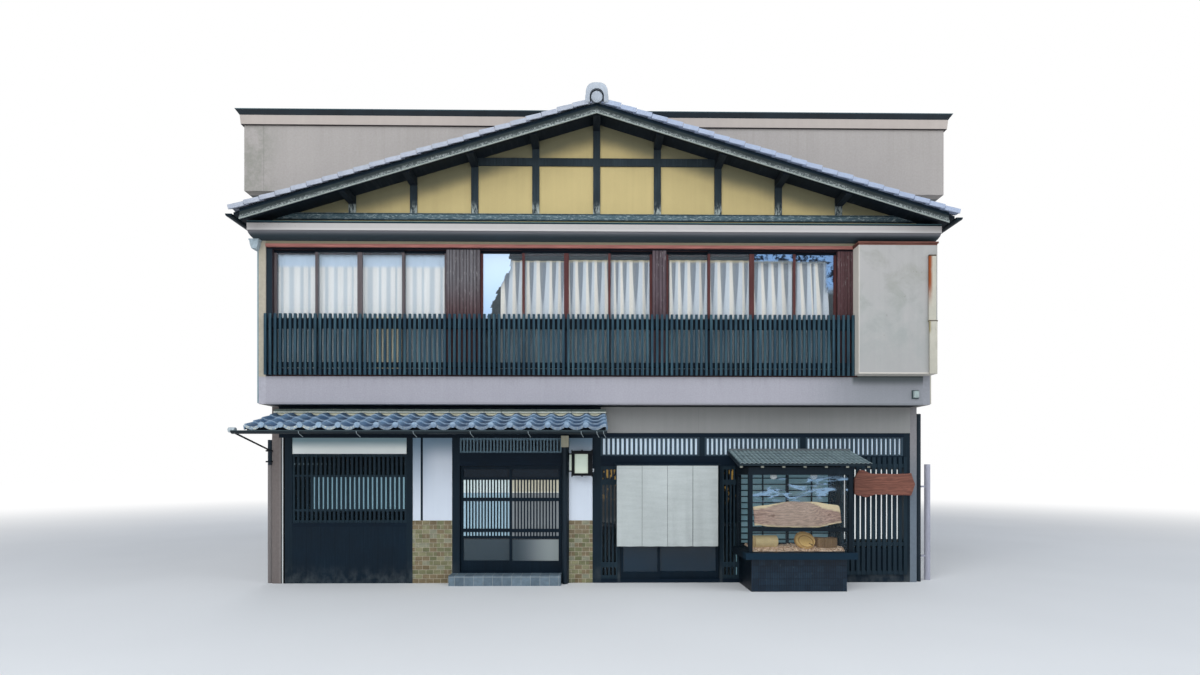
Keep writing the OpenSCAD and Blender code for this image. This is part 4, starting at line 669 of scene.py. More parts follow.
    f = Finish("gutter_sheet", 0.45, 0.4, 0.1)
    f.base = f.shade(rgb(18, 34, 42), 0.4, f.noise((2, 12, 12)), (0.3, 0.7))
    # Painted highlight along the gutter's top lip.
    lip = f.both(f.band(f.z, 2.404, 2.45, 0.006), f.rise(f.y, -5.45, -5.5))
    f.lay(rgb(84, 102, 106), lip, 0.6)
    rust = f.grow(f.noise(9, 5, 0.7), 0.62, 0.75)
    f.lay(rgb(84, 72, 66), rust, 0.4)
    coat(f.done(), "gutters")

    f = Finish("pipe_paint", 0.5, 0.35)
    paint = rgb(24, 38, 48)
    left = f.rise(f.x, -5.2, -5.25)
    f.base = f.mix(f.both(left, f.rise(f.z, 1.93, 1.91)), paint, rgb(126, 120, 118))
    upper = f.rise(f.z, STOREY_FOOT, STOREY_FOOT + 0.03)
    f.lay(rgb(122, 152, 162), left, upper)
    f.lay(rgb(196, 190, 176), f.rise(f.x, 5.2, 5.25), upper)
    f.lay(rgb(176, 176, 190), f.rise(f.x, 5.44, 5.46))
    box = f.both(f.rise(f.z, 2.205, 2.21), f.band(f.x, -0.6, -0.4, 0.01))
    f.lay(rgb(176, 172, 150), box)
    f.cloud(0.25, f.noise((12, 12, 1.5)), (0.3, 0.7))
    coat(f.done(), "downpipes")

    f = timber("canopy_boards", rgb(34, 42, 52), LEVEL, worn_amount=0.2)
    coat(f.done(), "canopy_frame")


def glass_finishes():
    """Glass with the pale films and blinds that show behind it, and painted sky reflections on it,
    drawn by place.
    """
    f = glass("upper_panes", rgb(150, 164, 172))
    back = f.rise(f.y, 0.0, 1.0)
    # Painted sky reflection on the first pane of the middle group, with a ragged slanting edge.
    edge = f.plus(f.both(f.rise(f.z, 4.2, 5.25), 0.36), -1.77)
    edge = f.plus(edge, f.both(f.cells((0.0, 0.0, 0.11)), 0.07))
    edge = f.plus(edge, f.both(f.noise((1, 1, 30)), 0.06))
    sky = f.both(f.rise(f.less(f.x, edge), 0.01, -0.01), f.rise(f.x, -2.0, -1.9),
                 f.rise(f.z, 4.2, 4.26))
    # The painted sky reflection gets paler towards the top.
    f.base = f.mix(f.rise(f.z, 4.3, 5.2), rgb(168, 194, 222), rgb(190, 210, 232))
    f.base = f.mix(sky, rgb(150, 164, 172), f.base)
    f.lay(rgb(54, 66, 74), back)
    # Painted reflection of sky and twigs along the top and the right end of the right panes.
    corner = f.most(f.rise(f.z, 5.11, 5.17), f.rise(f.x, 3.6, 3.68))
    over = f.both(f.rise(f.x, 2.44, 2.5), f.rise(f.y, 0.0, -1.0), corner, f.rise(f.z, 4.6, 4.8))
    twig_reflection = f.grow(f.noise(7, 6, 0.75, 0.6), 0.46, 0.54)
    f.lay(f.mix(twig_reflection, rgb(112, 146, 188), rgb(18, 30, 44)), over)
    shown = f.most(f.both(sky, 0.82), f.both(back, 0.86))
    shown = f.most(shown, f.both(over, 0.8))
    # The painted reflections glow a little: painted light.
    f.done(f.both(f.most(sky, over), 0.25), Alpha=f.plus(0.1, shown))
    coat(f.mat, "upper_glass")

    f = glass("shop_panes", rgb(60, 74, 82))
    front = f.rise(f.y, 0.0, -1.0)
    wall = f.rise(f.y, -4.6, -4.5)
    bay = f.both(f.rise(f.x, -4.66, -4.62), f.rise(f.x, -3.08, -3.09),
                 f.band(f.z, 1.185, 1.726, 0.004), wall)
    right = f.both(f.rise(f.x, 4.085, 4.10), f.band(f.z, 0.70, 1.85, 0.006), wall)
    top = f.both(f.rise(f.x, 0.0, 0.05), f.rise(f.z, 2.06, 2.07), wall)
    back = f.both(f.band(f.x, 2.3, 3.96, 0.002), f.rise(f.y, -4.55, -4.5),
                  f.rise(f.z, 2.06, 2.05), front)
    wing = f.both(f.most(f.rise(f.x, 0.4, 0.38), f.rise(f.x, 2.0, 2.03)), f.rise(f.x, 0.06, 0.08),
                  f.rise(f.x, 2.34, 2.33), f.rise(f.z, 0.95, 1.0), f.rise(f.z, 1.98, 1.96), wall)
    warm = f.both(wing, f.grow(f.noise((9, 9, 6), 3, 0.7), 0.54, 0.6))
    warm = f.both(warm, f.rise(f.z, 1.1, 1.9))
    cloud = f.noise(1.6, 3)
    # Painted sky reflection: thin slanting streaks on the show window's front glass.
    sheen = f.noise((1.35, 1.35, 5.67), 5, 0.62, 1.6)
    streak = f.both(f.ramp(sheen, [(0.50, 0.0), (0.56, 1.0), (0.62, 1.0), (0.70, 0.1)]),
                    f.rise(f.y, -5.2, -5.24), f.band(f.z, 1.37, 1.74, 0.05))
    paper = f.mix(cloud, rgb(208, 228, 244), rgb(220, 236, 248))
    cool = f.mix(cloud, rgb(140, 180, 198), rgb(152, 188, 202))
    grey = f.mix(f.noise(2.4, 3), rgb(104, 142, 156), rgb(120, 152, 160))
    film = f.both(f.most(f.most(bay, right), top), front)
    f.base = f.mix(film, rgb(52, 64, 72), paper)
    f.lay(cool, bay)
    f.lay(rgb(238, 242, 242), right)
    f.lay(grey, back)
    f.lay(rgb(14, 22, 28), wing)
    f.lay(rgb(176, 140, 74), warm)
    # Lays the painted sky reflection.
    f.lay(rgb(128, 158, 186), streak)
    solid = f.most(film, back)
    solid = f.most(solid, f.both(streak, 0.5))
    # Painted light: the films, back panes, streaks and warm glimpses glow a little, the right film
    # most.
    glow = f.both(f.most(solid, warm), 0.32)
    glow = f.plus(glow, f.both(right, 0.4))
    solid = f.most(solid, wing)
    f.base = f.mix(front, rgb(54, 66, 74), f.base)
    shown = f.most(solid, f.less(1.0, front))
    f.done(glow, Alpha=f.plus(0.12, f.both(shown, 0.86)))
    coat(f.mat, "ground_glass")

    f = glass("door_panes", rgb(70, 84, 92))
    low = f.both(f.rise(f.z, 0.735, 0.741), f.rise(f.z, 1.706, 1.70))
    bright = f.rise(f.z, 1.483, 1.478)
    left = f.rise(f.x, -1.395, -1.405)
    cool = f.mix(bright, rgb(224, 240, 240), rgb(160, 192, 208))
    warm = f.mix(bright, rgb(196, 192, 172), rgb(124, 130, 134))
    line = f.band(f.z, 1.470, 1.486, 0.002)
    cool = f.mix(line, cool, rgb(240, 248, 248))
    warm = f.mix(line, warm, rgb(226, 226, 214))
    f.base = f.mix(left, warm, cool)
    pane = f.both(f.rise(f.z, 0.71, 0.70), f.rise(f.x, -1.36, -0.72))
    f.lay(rgb(122, 130, 130), pane)
    shown = f.most(low, pane)
    rest = f.mix(f.rise(f.z, 0.71, 0.70), rgb(20, 32, 42), rgb(52, 66, 74))
    f.base = f.mix(shown, rest, f.base)
    # The shown panes glow a little: painted light.
    coat(f.done(f.both(shown, 0.2), Alpha=0.94), "side_leaf_left_glass", "side_leaf_right_glass")

    f = glass("entrance_panes", rgb(22, 46, 62), 0.12)
    f.base = f.shade(rgb(22, 46, 62), 0.2, f.noise(3, 3))
    coat(f.done(), "entry_leaf_left_glass", "entry_leaf_right_glass")


# Modelling


def clear_selection():
    if bpy.context.object and bpy.context.object.mode != "OBJECT":
        bpy.ops.object.mode_set(mode="OBJECT")
    bpy.ops.object.select_all(action="DESELECT")


def pick(obj):
    clear_selection()
    obj.select_set(True)
    bpy.context.view_layer.objects.active = obj


def settle(obj, name, material, smooth=35.0):
    """Leaves a piece finished: its place in its mesh, its finish on, riding on its body."""
    pick(obj)
    bpy.ops.object.transform_apply(location=True, rotation=True, scale=True)
    if smooth:
        bpy.ops.object.shade_smooth_by_angle(angle=math.radians(smooth))
    obj.name = name
    obj.data.name = name
    obj.data.materials.clear()
    obj.data.materials.append(material)
    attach(obj, BODY)
    return obj


def primitive(kind, **settings):
    clear_selection()
    getattr(bpy.ops.mesh, "primitive_%s_add" % kind)(**settings)
    return bpy.context.object


def modify(obj, kind, **settings):
    """Adds a modifier and applies it at once."""
    pick(obj)
    made = obj.modifiers.new(kind.lower(), kind)
    for key, value in settings.items():
        setattr(made, key, value)
    bpy.ops.object.modifier_apply(modifier=made.name)


def bar(x0, x1, y0, y1, z0, z1, edge=0.004, segments=2):
    """A board or bar between six planes, its edges rounded."""
    obj = primitive("cube", size=1.0, location=((x0 + x1) / 2, (y0 + y1) / 2, (z0 + z1) / 2),
                    scale=(x1 - x0, y1 - y0, z1 - z0))
    bpy.ops.object.transform_apply(location=True, rotation=True, scale=True)
    if edge:
        bpy.ops.object.mode_set(mode="EDIT")
        bpy.ops.mesh.select_all(action="SELECT")
        bpy.ops.mesh.bevel(offset=min(edge, 0.45 * min(x1 - x0, y1 - y0, z1 - z0)),
                           segments=segments, affect="EDGES")
        bpy.ops.object.mode_set(mode="OBJECT")
    return obj


def join(parts):
    clear_selection()
    for part in parts:
        part.select_set(True)
    bpy.context.view_layer.objects.active = parts[0]
    if len(parts) > 1:
        bpy.ops.object.join()
    return bpy.context.view_layer.objects.active


def copy_to(obj, matrix, tone=None):
    """A copy with its own mesh, moved in its mesh."""
    made = obj.copy()
    made.data = obj.data.copy()
    made.data.transform(matrix)
    bpy.context.collection.objects.link(made)
    if tone is not None:
        layer = made.data.attributes.new("tone", "FLOAT", "FACE")
        layer.data.foreach_set("value", [tone] * len(made.data.polygons))
    return made


def remove(obj):
    bpy.data.objects.remove(obj, do_unlink=True)


# Cloth


def cloth(x0, width, z0, z1, y, depth_at, waves, shift, columns, rows):
    """A hanging sheet: a grid whose rows are bent into folds of a depth given for each height."""
    obj = primitive("grid", x_subdivisions=columns, y_subdivisions=rows, size=1.0,
                    location=(0.0, 0.0, 0.0))
    for vertex in obj.data.vertices:
        u = vertex.co.x + 0.5
        v = vertex.co.y + 0.5
        fold = depth_at(v) * math.sin(2 * math.pi * waves * u + shift + 0.6 * math.sin(3.0 * v))
        vertex.co = (x0 + u * width, y + fold, z0 + v * (z1 - z0))
    return obj


class TOWNHOUSE_OT_door_curtain(bpy.types.Operator):
    """Four linen panels that hang from the rod in front of the entrance."""

    bl_idname = "townhouse.door_curtain"
    bl_label = "Door curtain"

    def execute(self, context):
        low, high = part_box("noren")
        f = Finish("noren_linen", 0.9, 0.1)
        warp = f.noise((420, 1, 30), 2)
        weft = f.noise((30, 1, 420), 2)
        weave = f.plus(f.both(warp, 0.5), f.both(weft, 0.5))
        f.base = f.shade(colours().noren, 0.16, weave, (0.35, 0.65))
        f.cloud(0.1, f.noise(2, 3), (0.3, 0.7))
        f.cloud(0.1, f.noise((2.4, 2.4, 17), 5, 0.7), (0.34, 0.66))
        hem = f.band(f.z, high.z - 0.052, high.z - 0.046, 0.002)
        f.lay(rgb(140, 144, 140), hem, 0.4)
        f.bump(weave, 0.0015, 0.4)
        f.done(Sheen_Weight=0.15)
        gap = 0.004
        width = (high.x - low.x - 3 * gap) / 4
        sway = sizes().noren_sway
        for i in range(4):
            x0 = low.x + i * (width + gap)
            obj = cloth(x0, width - 0.001, low.z + 0.002, high.z,
                        (low.y + high.y) / 2, lambda v: sway * (1.0 - v) ** 0.8 * 0.9 + 0.001,
                        1.4 + 0.25 * (i % 3), 1.3 * i, 36, 60)
            modify(obj, "SOLIDIFY", thickness=CLOTH, offset=0.0)
            settle(obj, "noren_%d" % (i + 1), f.mat)
            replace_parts(obj, "noren")
        return {"FINISHED"}


def bend(obj, rule):
    """Gives every vertex the place that a rule makes of its old one."""
    for vertex in obj.data.vertices:
        vertex.co = rule(vertex.co)


def mark(obj, name, rule):
    """Stores a number at every vertex, for the finishes to read."""
    layer = obj.data.attributes.new(name, "FLOAT", "POINT")
    layer.data.foreach_set("value", [float(rule(v.co)) for v in obj.data.vertices])


def plate(points, y0, y1, edge=0.004, segments=2):
    """A flat board cut to an outline in X and Z, its edges rounded."""
    obj = primitive("circle", vertices=len(points), radius=1.0, fill_type="NGON")
    for vertex, (x, z) in zip(obj.data.vertices, points):
        vertex.co = (x, y0, z)
    bpy.ops.object.mode_set(mode="EDIT")
    bpy.ops.mesh.select_all(action="SELECT")
    bpy.ops.mesh.extrude_region_move(TRANSFORM_OT_translate={"value": (0.0, y1 - y0, 0.0)})
    bpy.ops.mesh.select_all(action="SELECT")
    bpy.ops.mesh.normals_make_consistent(inside=False)
    bpy.ops.object.mode_set(mode="OBJECT")
    if edge:
        modify(obj, "BEVEL", width=edge, segments=segments, limit_method="ANGLE",
               angle_limit=math.radians(50.0))
    return obj


def rod(start, end, radius, edge=0.0, vertices=24):
    """A round bar from one point to another."""
    start, end = Vector(start), Vector(end)
    obj = primitive("cylinder", vertices=vertices, radius=radius, depth=(end - start).length)
    if edge:
        modify(obj, "BEVEL", width=edge, segments=3, limit_method="ANGLE",
               angle_limit=math.radians(50.0))
    turn = (end - start).to_track_quat("Z", "Y").to_matrix().to_4x4()
    obj.data.transform(Matrix.Translation((start + end) / 2) @ turn)
    return obj


def spread(seed):
    return random.Random(seed)


# Roof tiles


def roll(u, height, crest=0.62):
    """Height of a waved tile across its width, u from 0 to 1."""
    return height * ((1.0 + math.cos(2 * math.pi * (u - crest))) / 2) ** 1.6


def wave_tile(width, length, thick, height, drop=0.0, crest=0.62):
    """One waved tile: eave edge at y = 0, its back rising along y, its top outward."""
    obj = primitive("grid", x_subdivisions=16, y_subdivisions=3, size=1.0)

    def shape(co):
        row = round((co.y + 0.5) * 3)
        u = co.x + 0.5
        y = (0.0, 0.012, length * 0.5, length)[min(3, row)]
        return (u * width, y, roll(u, height, crest) + thick)

    bend(obj, shape)
    if drop:
        bpy.ops.object.mode_set(mode="EDIT")
        bpy.ops.mesh.select_mode(type="VERT")
        bpy.ops.mesh.select_all(action="DESELECT")
        bpy.ops.object.mode_set(mode="OBJECT")
        for vertex in obj.data.vertices:
            vertex.select = vertex.co.y < 0.006
        bpy.ops.object.mode_set(mode="EDIT")
        bpy.ops.mesh.extrude_region_move(TRANSFORM_OT_translate={"value": (0.0, -0.004, -drop)})
        bpy.ops.object.mode_set(mode="OBJECT")
    modify(obj, "SOLIDIFY", thickness=thick, offset=-1.0)
    lip = 1.0 if drop else 0.8
    mark(obj, "edge", lambda co: lip if co.y < 0.004 else 0.1 if co.y < 0.02 else 0.0)
    # high holds each point's height on the roll, for the painted crest highlight and valley shade.
    mark(obj, "high", lambda co: roll(co.x / width, 1.0, crest))
    return obj


def slope_matrix(origin, across, up):
    across, up = Vector(across).normalized(), Vector(up).normalized()
    out = across.cross(up)
    turn = Matrix((across, up, out)).transposed().to_4x4()
    return Matrix.Translation(origin) @ turn


def tile_courses(origin, across, up, columns, step, rows, run, thick, height, drop, seed,
                 flaps=(), crest=0.62):
    """Courses of waved tiles from the eave up, each lapped over the one below.

    Flaps are (place across, low, high) for the upright edges at the ends."""
    chance = spread(seed)
    lap = 0.05
    tile = wave_tile(step, run + lap, thick, height, 0.0, crest)
    eave = wave_tile(step, run + lap, thick, height, drop, crest) if drop else None
    place = slope_matrix(origin, across, up)
    tilt = math.asin(thick / run)
    made = []
    for row in range(rows):
        base = Matrix.Translation((0.0, row * run, 0.0)) @ Matrix.Rotation(-tilt, 4, "X")
        for column in range(columns):
            turn = Matrix.Rotation(chance.uniform(-0.004, 0.004), 4, "Z")
            shift = Matrix.Translation((column * step, chance.uniform(-0.003, 0.003),
                                        thick + chance.uniform(0.0, 0.0015)))
            source = eave if eave and row == 0 else tile
            made.append(copy_to(source, place @ base @ shift @ turn, chance.random()))
        for x, low, high in flaps:
            flap = bar(x - thick / 2, x + thick / 2, 0.001, run - 0.005, low, high, 0.003)
            mark(flap, "edge", lambda co: 0.45)
            # The flaps take most of the painted crest highlight.
            mark(flap, "high", lambda co: 0.8)
            step_up = Matrix.Rotation(-math.asin(0.016 / run), 4, "X")
            shift = Matrix.Translation((0.0, row * run, chance.uniform(0.003, 0.012)))
            made.append(copy_to(flap, place @ shift @ step_up, chance.uniform(0.0, 1.0)))
            remove(flap)
    remove(tile)
    if eave:
        remove(eave)
    return join(made)


def tile_finish(name, colour, dark, light, edge, lichen):
    f = Finish(name, 0.42, 0.4)
    tone = f.tone("tone")
    # Painted light: by the high mark each tile goes from dark, the painted shade of its valleys, to
    # light, the painted highlight of its crests.
    high = f.tone("high")
    f.base = f.mix(high, dark, light)
    f.lay(colour, tone, 0.6)
    cloud = f.noise(7, 5, 0.62)
    f.cloud(0.3, cloud, (0.3, 0.68))
    front = f.both(f.tone("edge"), f.ramp(f.noise(26, 3), [(0.25, 0.5), (0.6, 1.0)]))
    f.lay(edge, front)
    moss = f.grow(f.noise(40, 5, 0.75), 0.5, 0.56)
    fewer = f.less(1.0, f.both(f.rise(f.x, -3.9, -3.2), 0.75))
    f.lay(rgb(78, 96, 122), f.tone("edge"), f.rise(f.x, -3.9, -3.2), f.rise(f.z, 2.52, 2.48), 0.6)
    moss = f.both(moss, fewer, f.rise(f.tone("edge"), 0.9, 1.0))
    f.lay(lichen, moss, 0.85)
    spots = f.grow(f.noise(34, 5, 0.7), 0.6, 0.68)
    f.lay(lichen, spots, 0.45)
    f.set(Roughness=f.ramp(cloud, [(0.2, 0.34), (0.8, 0.62)]))
    f.bump(f.noise(60), 0.002, 0.4)
    f.done()
    return f


class TOWNHOUSE_OT_canopy_roof(bpy.types.Operator):
    """Waved tiles, eave discs, ridge layers and plaster of the canopy."""

    bl_idname = "townhouse.canopy_roof"
    bl_label = "Canopy roof"

    def execute(self, context):
        low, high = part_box("canopy_tiles")
        s = sizes()
        thick, height = s.tile_thickness, s.tile_wave
        x0, x1 = low.x + thick, high.x - thick
        out, slope = 0.906, 0.32
        eave_z = 2.440
        wall = high.y
        columns = round((x1 - x0) / s.tile_width)
        step = (x1 - x0) / columns
        theta = math.atan(slope)
        crest = 0.91
        f = tile_finish("canopy_tile_glaze", colours().blue_tile, rgb(42, 62, 90),
                        rgb(122, 154, 184), rgb(152, 172, 190), rgb(214, 214, 196))
        up = (0.0, math.cos(theta), math.sin(theta))
        start = Vector((x0, wall - out - 0.012, eave_z - 0.006))
        tiles = tile_courses(start, (1.0, 0.0, 0.0), up, columns, step, 4, 0.2283, thick, height,
                             0.045, 4, flaps=((-thick * 0.5, -0.02, 0.042),
                                              (x1 - x0 + thick * 0.5, -0.02, 0.042)), crest=crest)
        settle(tiles, "canopy_tile_courses", f.mat, smooth=42.0)
        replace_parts(tiles, "canopy_tiles")

        disc = primitive("cylinder", vertices=40, radius=0.043, depth=0.034)
        bpy.ops.object.mode_set(mode="EDIT")
        bpy.ops.mesh.select_all(action="DESELECT")
        bpy.ops.object.mode_set(mode="OBJECT")
        for face in disc.data.polygons:
            face.select = face.normal.z > 0.9
        bpy.ops.object.mode_set(mode="EDIT")
        bpy.ops.mesh.select_mode(type="FACE")
        bpy.ops.mesh.inset(thickness=0.008)
        bpy.ops.mesh.inset(thickness=0.002)
        bpy.ops.transform.translate(value=(0.0, 0.0, -0.004))
        bpy.ops.mesh.inset(thickness=0.012)
        bpy.ops.transform.translate(value=(0.0, 0.0, 0.004))
        bpy.ops.object.mode_set(mode="OBJECT")
        modify(disc, "BEVEL", width=0.003, segments=2, limit_method="ANGLE")
        mark(disc, "edge", lambda co: 0.8)
        # The discs take the full painted crest highlight.
        mark(disc, "high", lambda co: 1.0)
        face = Matrix.Rotation(math.radians(90.0), 4, "X")
        chance = spread(9)
        discs = []
        for i in range(columns - 1):
            x = x0 + (i + crest) * step
            place = Matrix.Translation((x, wall - out - 0.034, 2.4965))
            turn = Matrix.Rotation(chance.uniform(0.0, 6.2), 4, "Z")
            discs.append(copy_to(disc, place @ face @ turn, chance.random()))
        remove(disc)
        obj = settle(join(discs), "canopy_eave_discs", f.mat)
        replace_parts(obj, "canopy_tiles")

        layers, lines = [], []
        gap, wide = 0.002, (high.x - low.x - 0.008) / columns
        for k, (reach, tall, into) in enumerate(((0.172, 0.021, lines), (0.150, 0.021, layers),
                                                 (0.135, 0.021, layers))):
            for i in range(columns):
                z = high.z - 0.066 + 0.022 * k
                x = low.x + 0.004 + i * wide
                piece = bar(x + gap, x + wide - gap, wall - reach + chance.uniform(-0.003, 0.003),
                            wall - 0.001, z + 0.001, z + tall, 0.003)
                mark(piece, "edge", lambda co: 0.3)
                # The ridge layers take part of the painted highlight.
                mark(piece, "high", lambda co: 0.6)
                into.append(copy_to(piece, Matrix.Identity(4), chance.random()))
                remove(piece)
        g = tile_finish("canopy_ridge_glaze", rgb(84, 98, 96), rgb(60, 74, 76),
                        rgb(100, 114, 110), rgb(150, 162, 150), rgb(176, 184, 164))
        obj = settle(join(layers), "canopy_ridge_layers", g.mat)
        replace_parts(obj, "canopy_tiles")
        g = tile_finish("canopy_line_glaze", rgb(240, 244, 230), rgb(216, 224, 212),
                        rgb(246, 250, 238), rgb(244, 248, 236), rgb(176, 184, 160))
        obj = settle(join(lines), "canopy_ridge_line", g.mat)
        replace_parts(obj, "canopy_tiles")

        h = mortar("canopy_fill_plaster", rgb(250, 246, 216), vary=0.10, streak=0.06)
        fill = bar(x0 + 0.01, x1 - 0.01, wall - 0.125, wall - 0.002, 2.70, high.z - 0.0665, 0.004)
        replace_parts(settle(fill, "canopy_fill", h.done()), "canopy_tiles")
        return {"FINISHED"}


class TOWNHOUSE_OT_gable_roof(bpy.types.Operator):
    """Waved tiles of the gable roof, each with its verge flap, laid from both eaves."""

    bl_idname = "townhouse.gable_roof"
    bl_label = "Gable roof"

    def execute(self, context):
        low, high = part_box("gable_tiles")
        s = sizes()
        thick, height = s.tile_thickness, s.tile_wave
        theta = math.atan(GABLE_SLOPE)
        f = tile_finish("gable_tile_glaze", colours().silver_tile, rgb(112, 120, 138),
                        rgb(160, 168, 182), rgb(186, 190, 198), rgb(150, 158, 152))
        # Painted light from the sky: the tiles right of the ridge are tinted blue.
        f.lay(rgb(150, 170, 204), f.rise(f.x, -0.2, 0.3), 0.4)
        f.done()
        ridge_z, x_in = 7.299, 0.07
        length = (high.x - thick - x_in) / math.cos(theta)
        rows = round((length - 0.05) / 0.236)
        run = (length - 0.05) / rows
        y0, y1 = low.y + thick, high.y
        columns = round((y1 - y0) / s.tile_width)
        step = (y1 - y0) / columns
        parts = []
        for side in (-1, 1):
            x = side * (x_in + length * math.cos(theta))
            z = ridge_z - GABLE_SLOPE * x_in - length * math.sin(theta) + 0.004
            up = (-side * math.cos(theta), 0.0, math.sin(theta))
            if side > 0:
                start, across, flap = (x, y0, z), (0.0, 1.0, 0.0), -thick * 0.5
            else:
                start, across, flap = (x, y1, z), (0.0, -1.0, 0.0), y1 - y0 + thick * 0.5
            parts.append(tile_courses(Vector(start), across, up, columns, step, rows, run, thick,
                                      height, 0.0, 7 + side, flaps=((flap, 0.0, 0.066),)))
        obj = settle(join(parts), "gable_tile_courses", f.mat, smooth=42.0)
        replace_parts(obj, "gable_tiles")
        return {"FINISHED"}


class TOWNHOUSE_OT_ridge_ornament(bpy.types.Operator):
    """Arched ridge-end tile with its niche and disc, and the ridge roll behind it."""

    bl_idname = "townhouse.ridge_ornament"
    bl_label = "Ridge ornament"

    def execute(self, context):
        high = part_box("ridge_ornament")[1]
        f = tile_finish("ridge_tile_glaze", rgb(158, 166, 178), rgb(132, 140, 152),
                        rgb(172, 180, 190), rgb(190, 196, 202), rgb(150, 158, 140))
        # Painted shade in the niche around the disc.
        f.lay(rgb(34, 44, 56), f.tone("hollow"))
        f.done()
        y0 = -5.425
        top, half = 7.568, 0.172
        radius = half * 0.95
        centre = top - radius
        foot = 7.27
        outer = [(half, foot), (half, centre - 0.05)]
        for i in range(33):
            c, h = math.cos(math.pi * i / 32), math.sin(math.pi * i / 32)
            outer.append((radius * math.copysign(abs(c) ** 0.72, c), centre + radius * h ** 0.82))
        outer += [(-half, centre - 0.05), (-half, foot)]
        arch = plate(outer, y0, y0 + 0.09, 0.012, 4)
        inner_r, inner_z = 0.104, 7.372
        inner = [(inner_r, foot - 0.02)]
        inner += [(inner_r * math.cos(a), inner_z + inner_r * math.sin(a))
                  for a in [math.pi * i / 20 for i in range(21)]]
        inner += [(-inner_r, foot - 0.02)]
        cut = plate(inner, y0 - 0.05, y0 + 0.075, 0.0)
        modify(arch, "BOOLEAN", operation="DIFFERENCE", object=cut, solver="EXACT")
        remove(cut)
        disc = primitive("uv_sphere", segments=40, ring_count=20, radius=0.084)
        bend(disc, lambda co: (co.x, co.y * 0.3, co.z))
        disc.data.transform(Matrix.Translation((0.0, y0 + 0.002, NICHE_Z)))
        pin = rod((0.0, y0 - 0.004, NICHE_Z), (0.0, y0 + 0.08, NICHE_Z), 0.045, 0.003, 32)
        ring = primitive("torus", major_radius=0.078, minor_radius=0.006, major_segments=40,
                         minor_segments=8)
        ring.data.transform(Matrix.Translation((0.0, y0 - 0.006, NICHE_Z))
                            @ Matrix.Rotation(math.radians(90.0), 4, "X"))
        parts = [arch, disc, ring, pin]
        for wide, z in ((0.12, 7.355), (0.105, 7.385), (0.09, 7.41)):
            parts.append(bar(-wide, wide, y0 + 0.088, high.y, z, z + 0.028, 0.006))
        crown = rod((0.0, y0 + 0.088, 7.45), (0.0, high.y, 7.45), 0.05, 0.004, 32)
        parts.append(crown)
        for part in parts:
            mark(part, "edge", lambda co: 0.25)
            # high lightens the ornament towards its top, painted light; hollow marks the niche for its
            # painted shade.
            mark(part, "high", lambda co: 0.3 + 0.7 * min(1.0, max(0.0, (co.z - 7.25) / 0.3)))
            mark(part, "hollow", lambda co: 1.0 if part is arch and co.y > y0 + 0.03
                 and math.hypot(co.x, co.z - inner_z) < inner_r + 0.012 else 0.0)
        tones = [copy_to(part, Matrix.Identity(4), 0.3 + 0.1 * i) for i, part in enumerate(parts)]
        for part in parts:
            remove(part)
        obj = settle(join(tones), "ridge_end_tile", f.mat, smooth=40.0)
        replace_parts(obj, "ridge_ornament")
        return {"FINISHED"}


def pleats(x0, x1, z0, z1, y, depth, pitch, lean, seed, cut):
    """A gathered curtain: pinched narrow at its head, its pleats opening towards its foot."""
    chance = spread(seed)
    width = x1 - x0
    count = max(3, round(width / pitch))
    marks = [(i + chance.uniform(-0.28, 0.28)) / count for i in range(1, count)]
    marks = [0.0] + marks + [1.0]
    columns = count * 14
    obj = primitive("grid", x_subdivisions=columns, y_subdivisions=44, size=1.0)
    sway = [chance.uniform(-0.5, 0.5) for _ in marks]

    def fold(u):
        for i in range(count):
            if u <= marks[i + 1] or i == count - 1:
                t = (u - marks[i]) / (marks[i + 1] - marks[i])
                turn = 2 * math.pi * min(1.0, max(0.0, t))
                return 0.5 - 0.5 * math.cos(turn), i, 0.5 + 0.5 * math.sin(turn)
        return 0.0, count - 1, 0.5

    def shape(co, amount):
        u, v = co.x + 0.5, co.y + 0.5
        value, i = fold(u)[:2]
        swell = 0.45 + 0.55 * (1.0 - v)
        drift = lean * (1.0 - v) * (0.3 + 0.7 * u) + 0.012 * sway[i] * (1.0 - v) * value
        return (x0 + u * width + drift, y + amount * swell * (value - 0.5), z0 + v * (z1 - z0))

    source = [v.co.copy() for v in obj.data.vertices]

    def area(amount):
        for vertex, co in zip(obj.data.vertices, source):
            vertex.co = shape(co, amount)
        obj.data.update()
        return sum(p.area for p in obj.data.polygons)

    low, high = 0.0, depth
    want = cut * width * (z1 - z0)
    if area(high) > want:
        for _ in range(18):
            mid = (low + high) / 2
            low, high = (mid, high) if area(mid) < want else (low, mid)
    flat = area(high)
    # fold and flank are stored for the painted shade in the folds and the painted light on one flank.
    for part, place in (("fold", 0), ("flank", 2)):
        layer = obj.data.attributes.new(part, "FLOAT", "POINT")
        layer.data.foreach_set("value", [fold(co.x + 0.5)[place] for co in source])
    return obj, flat


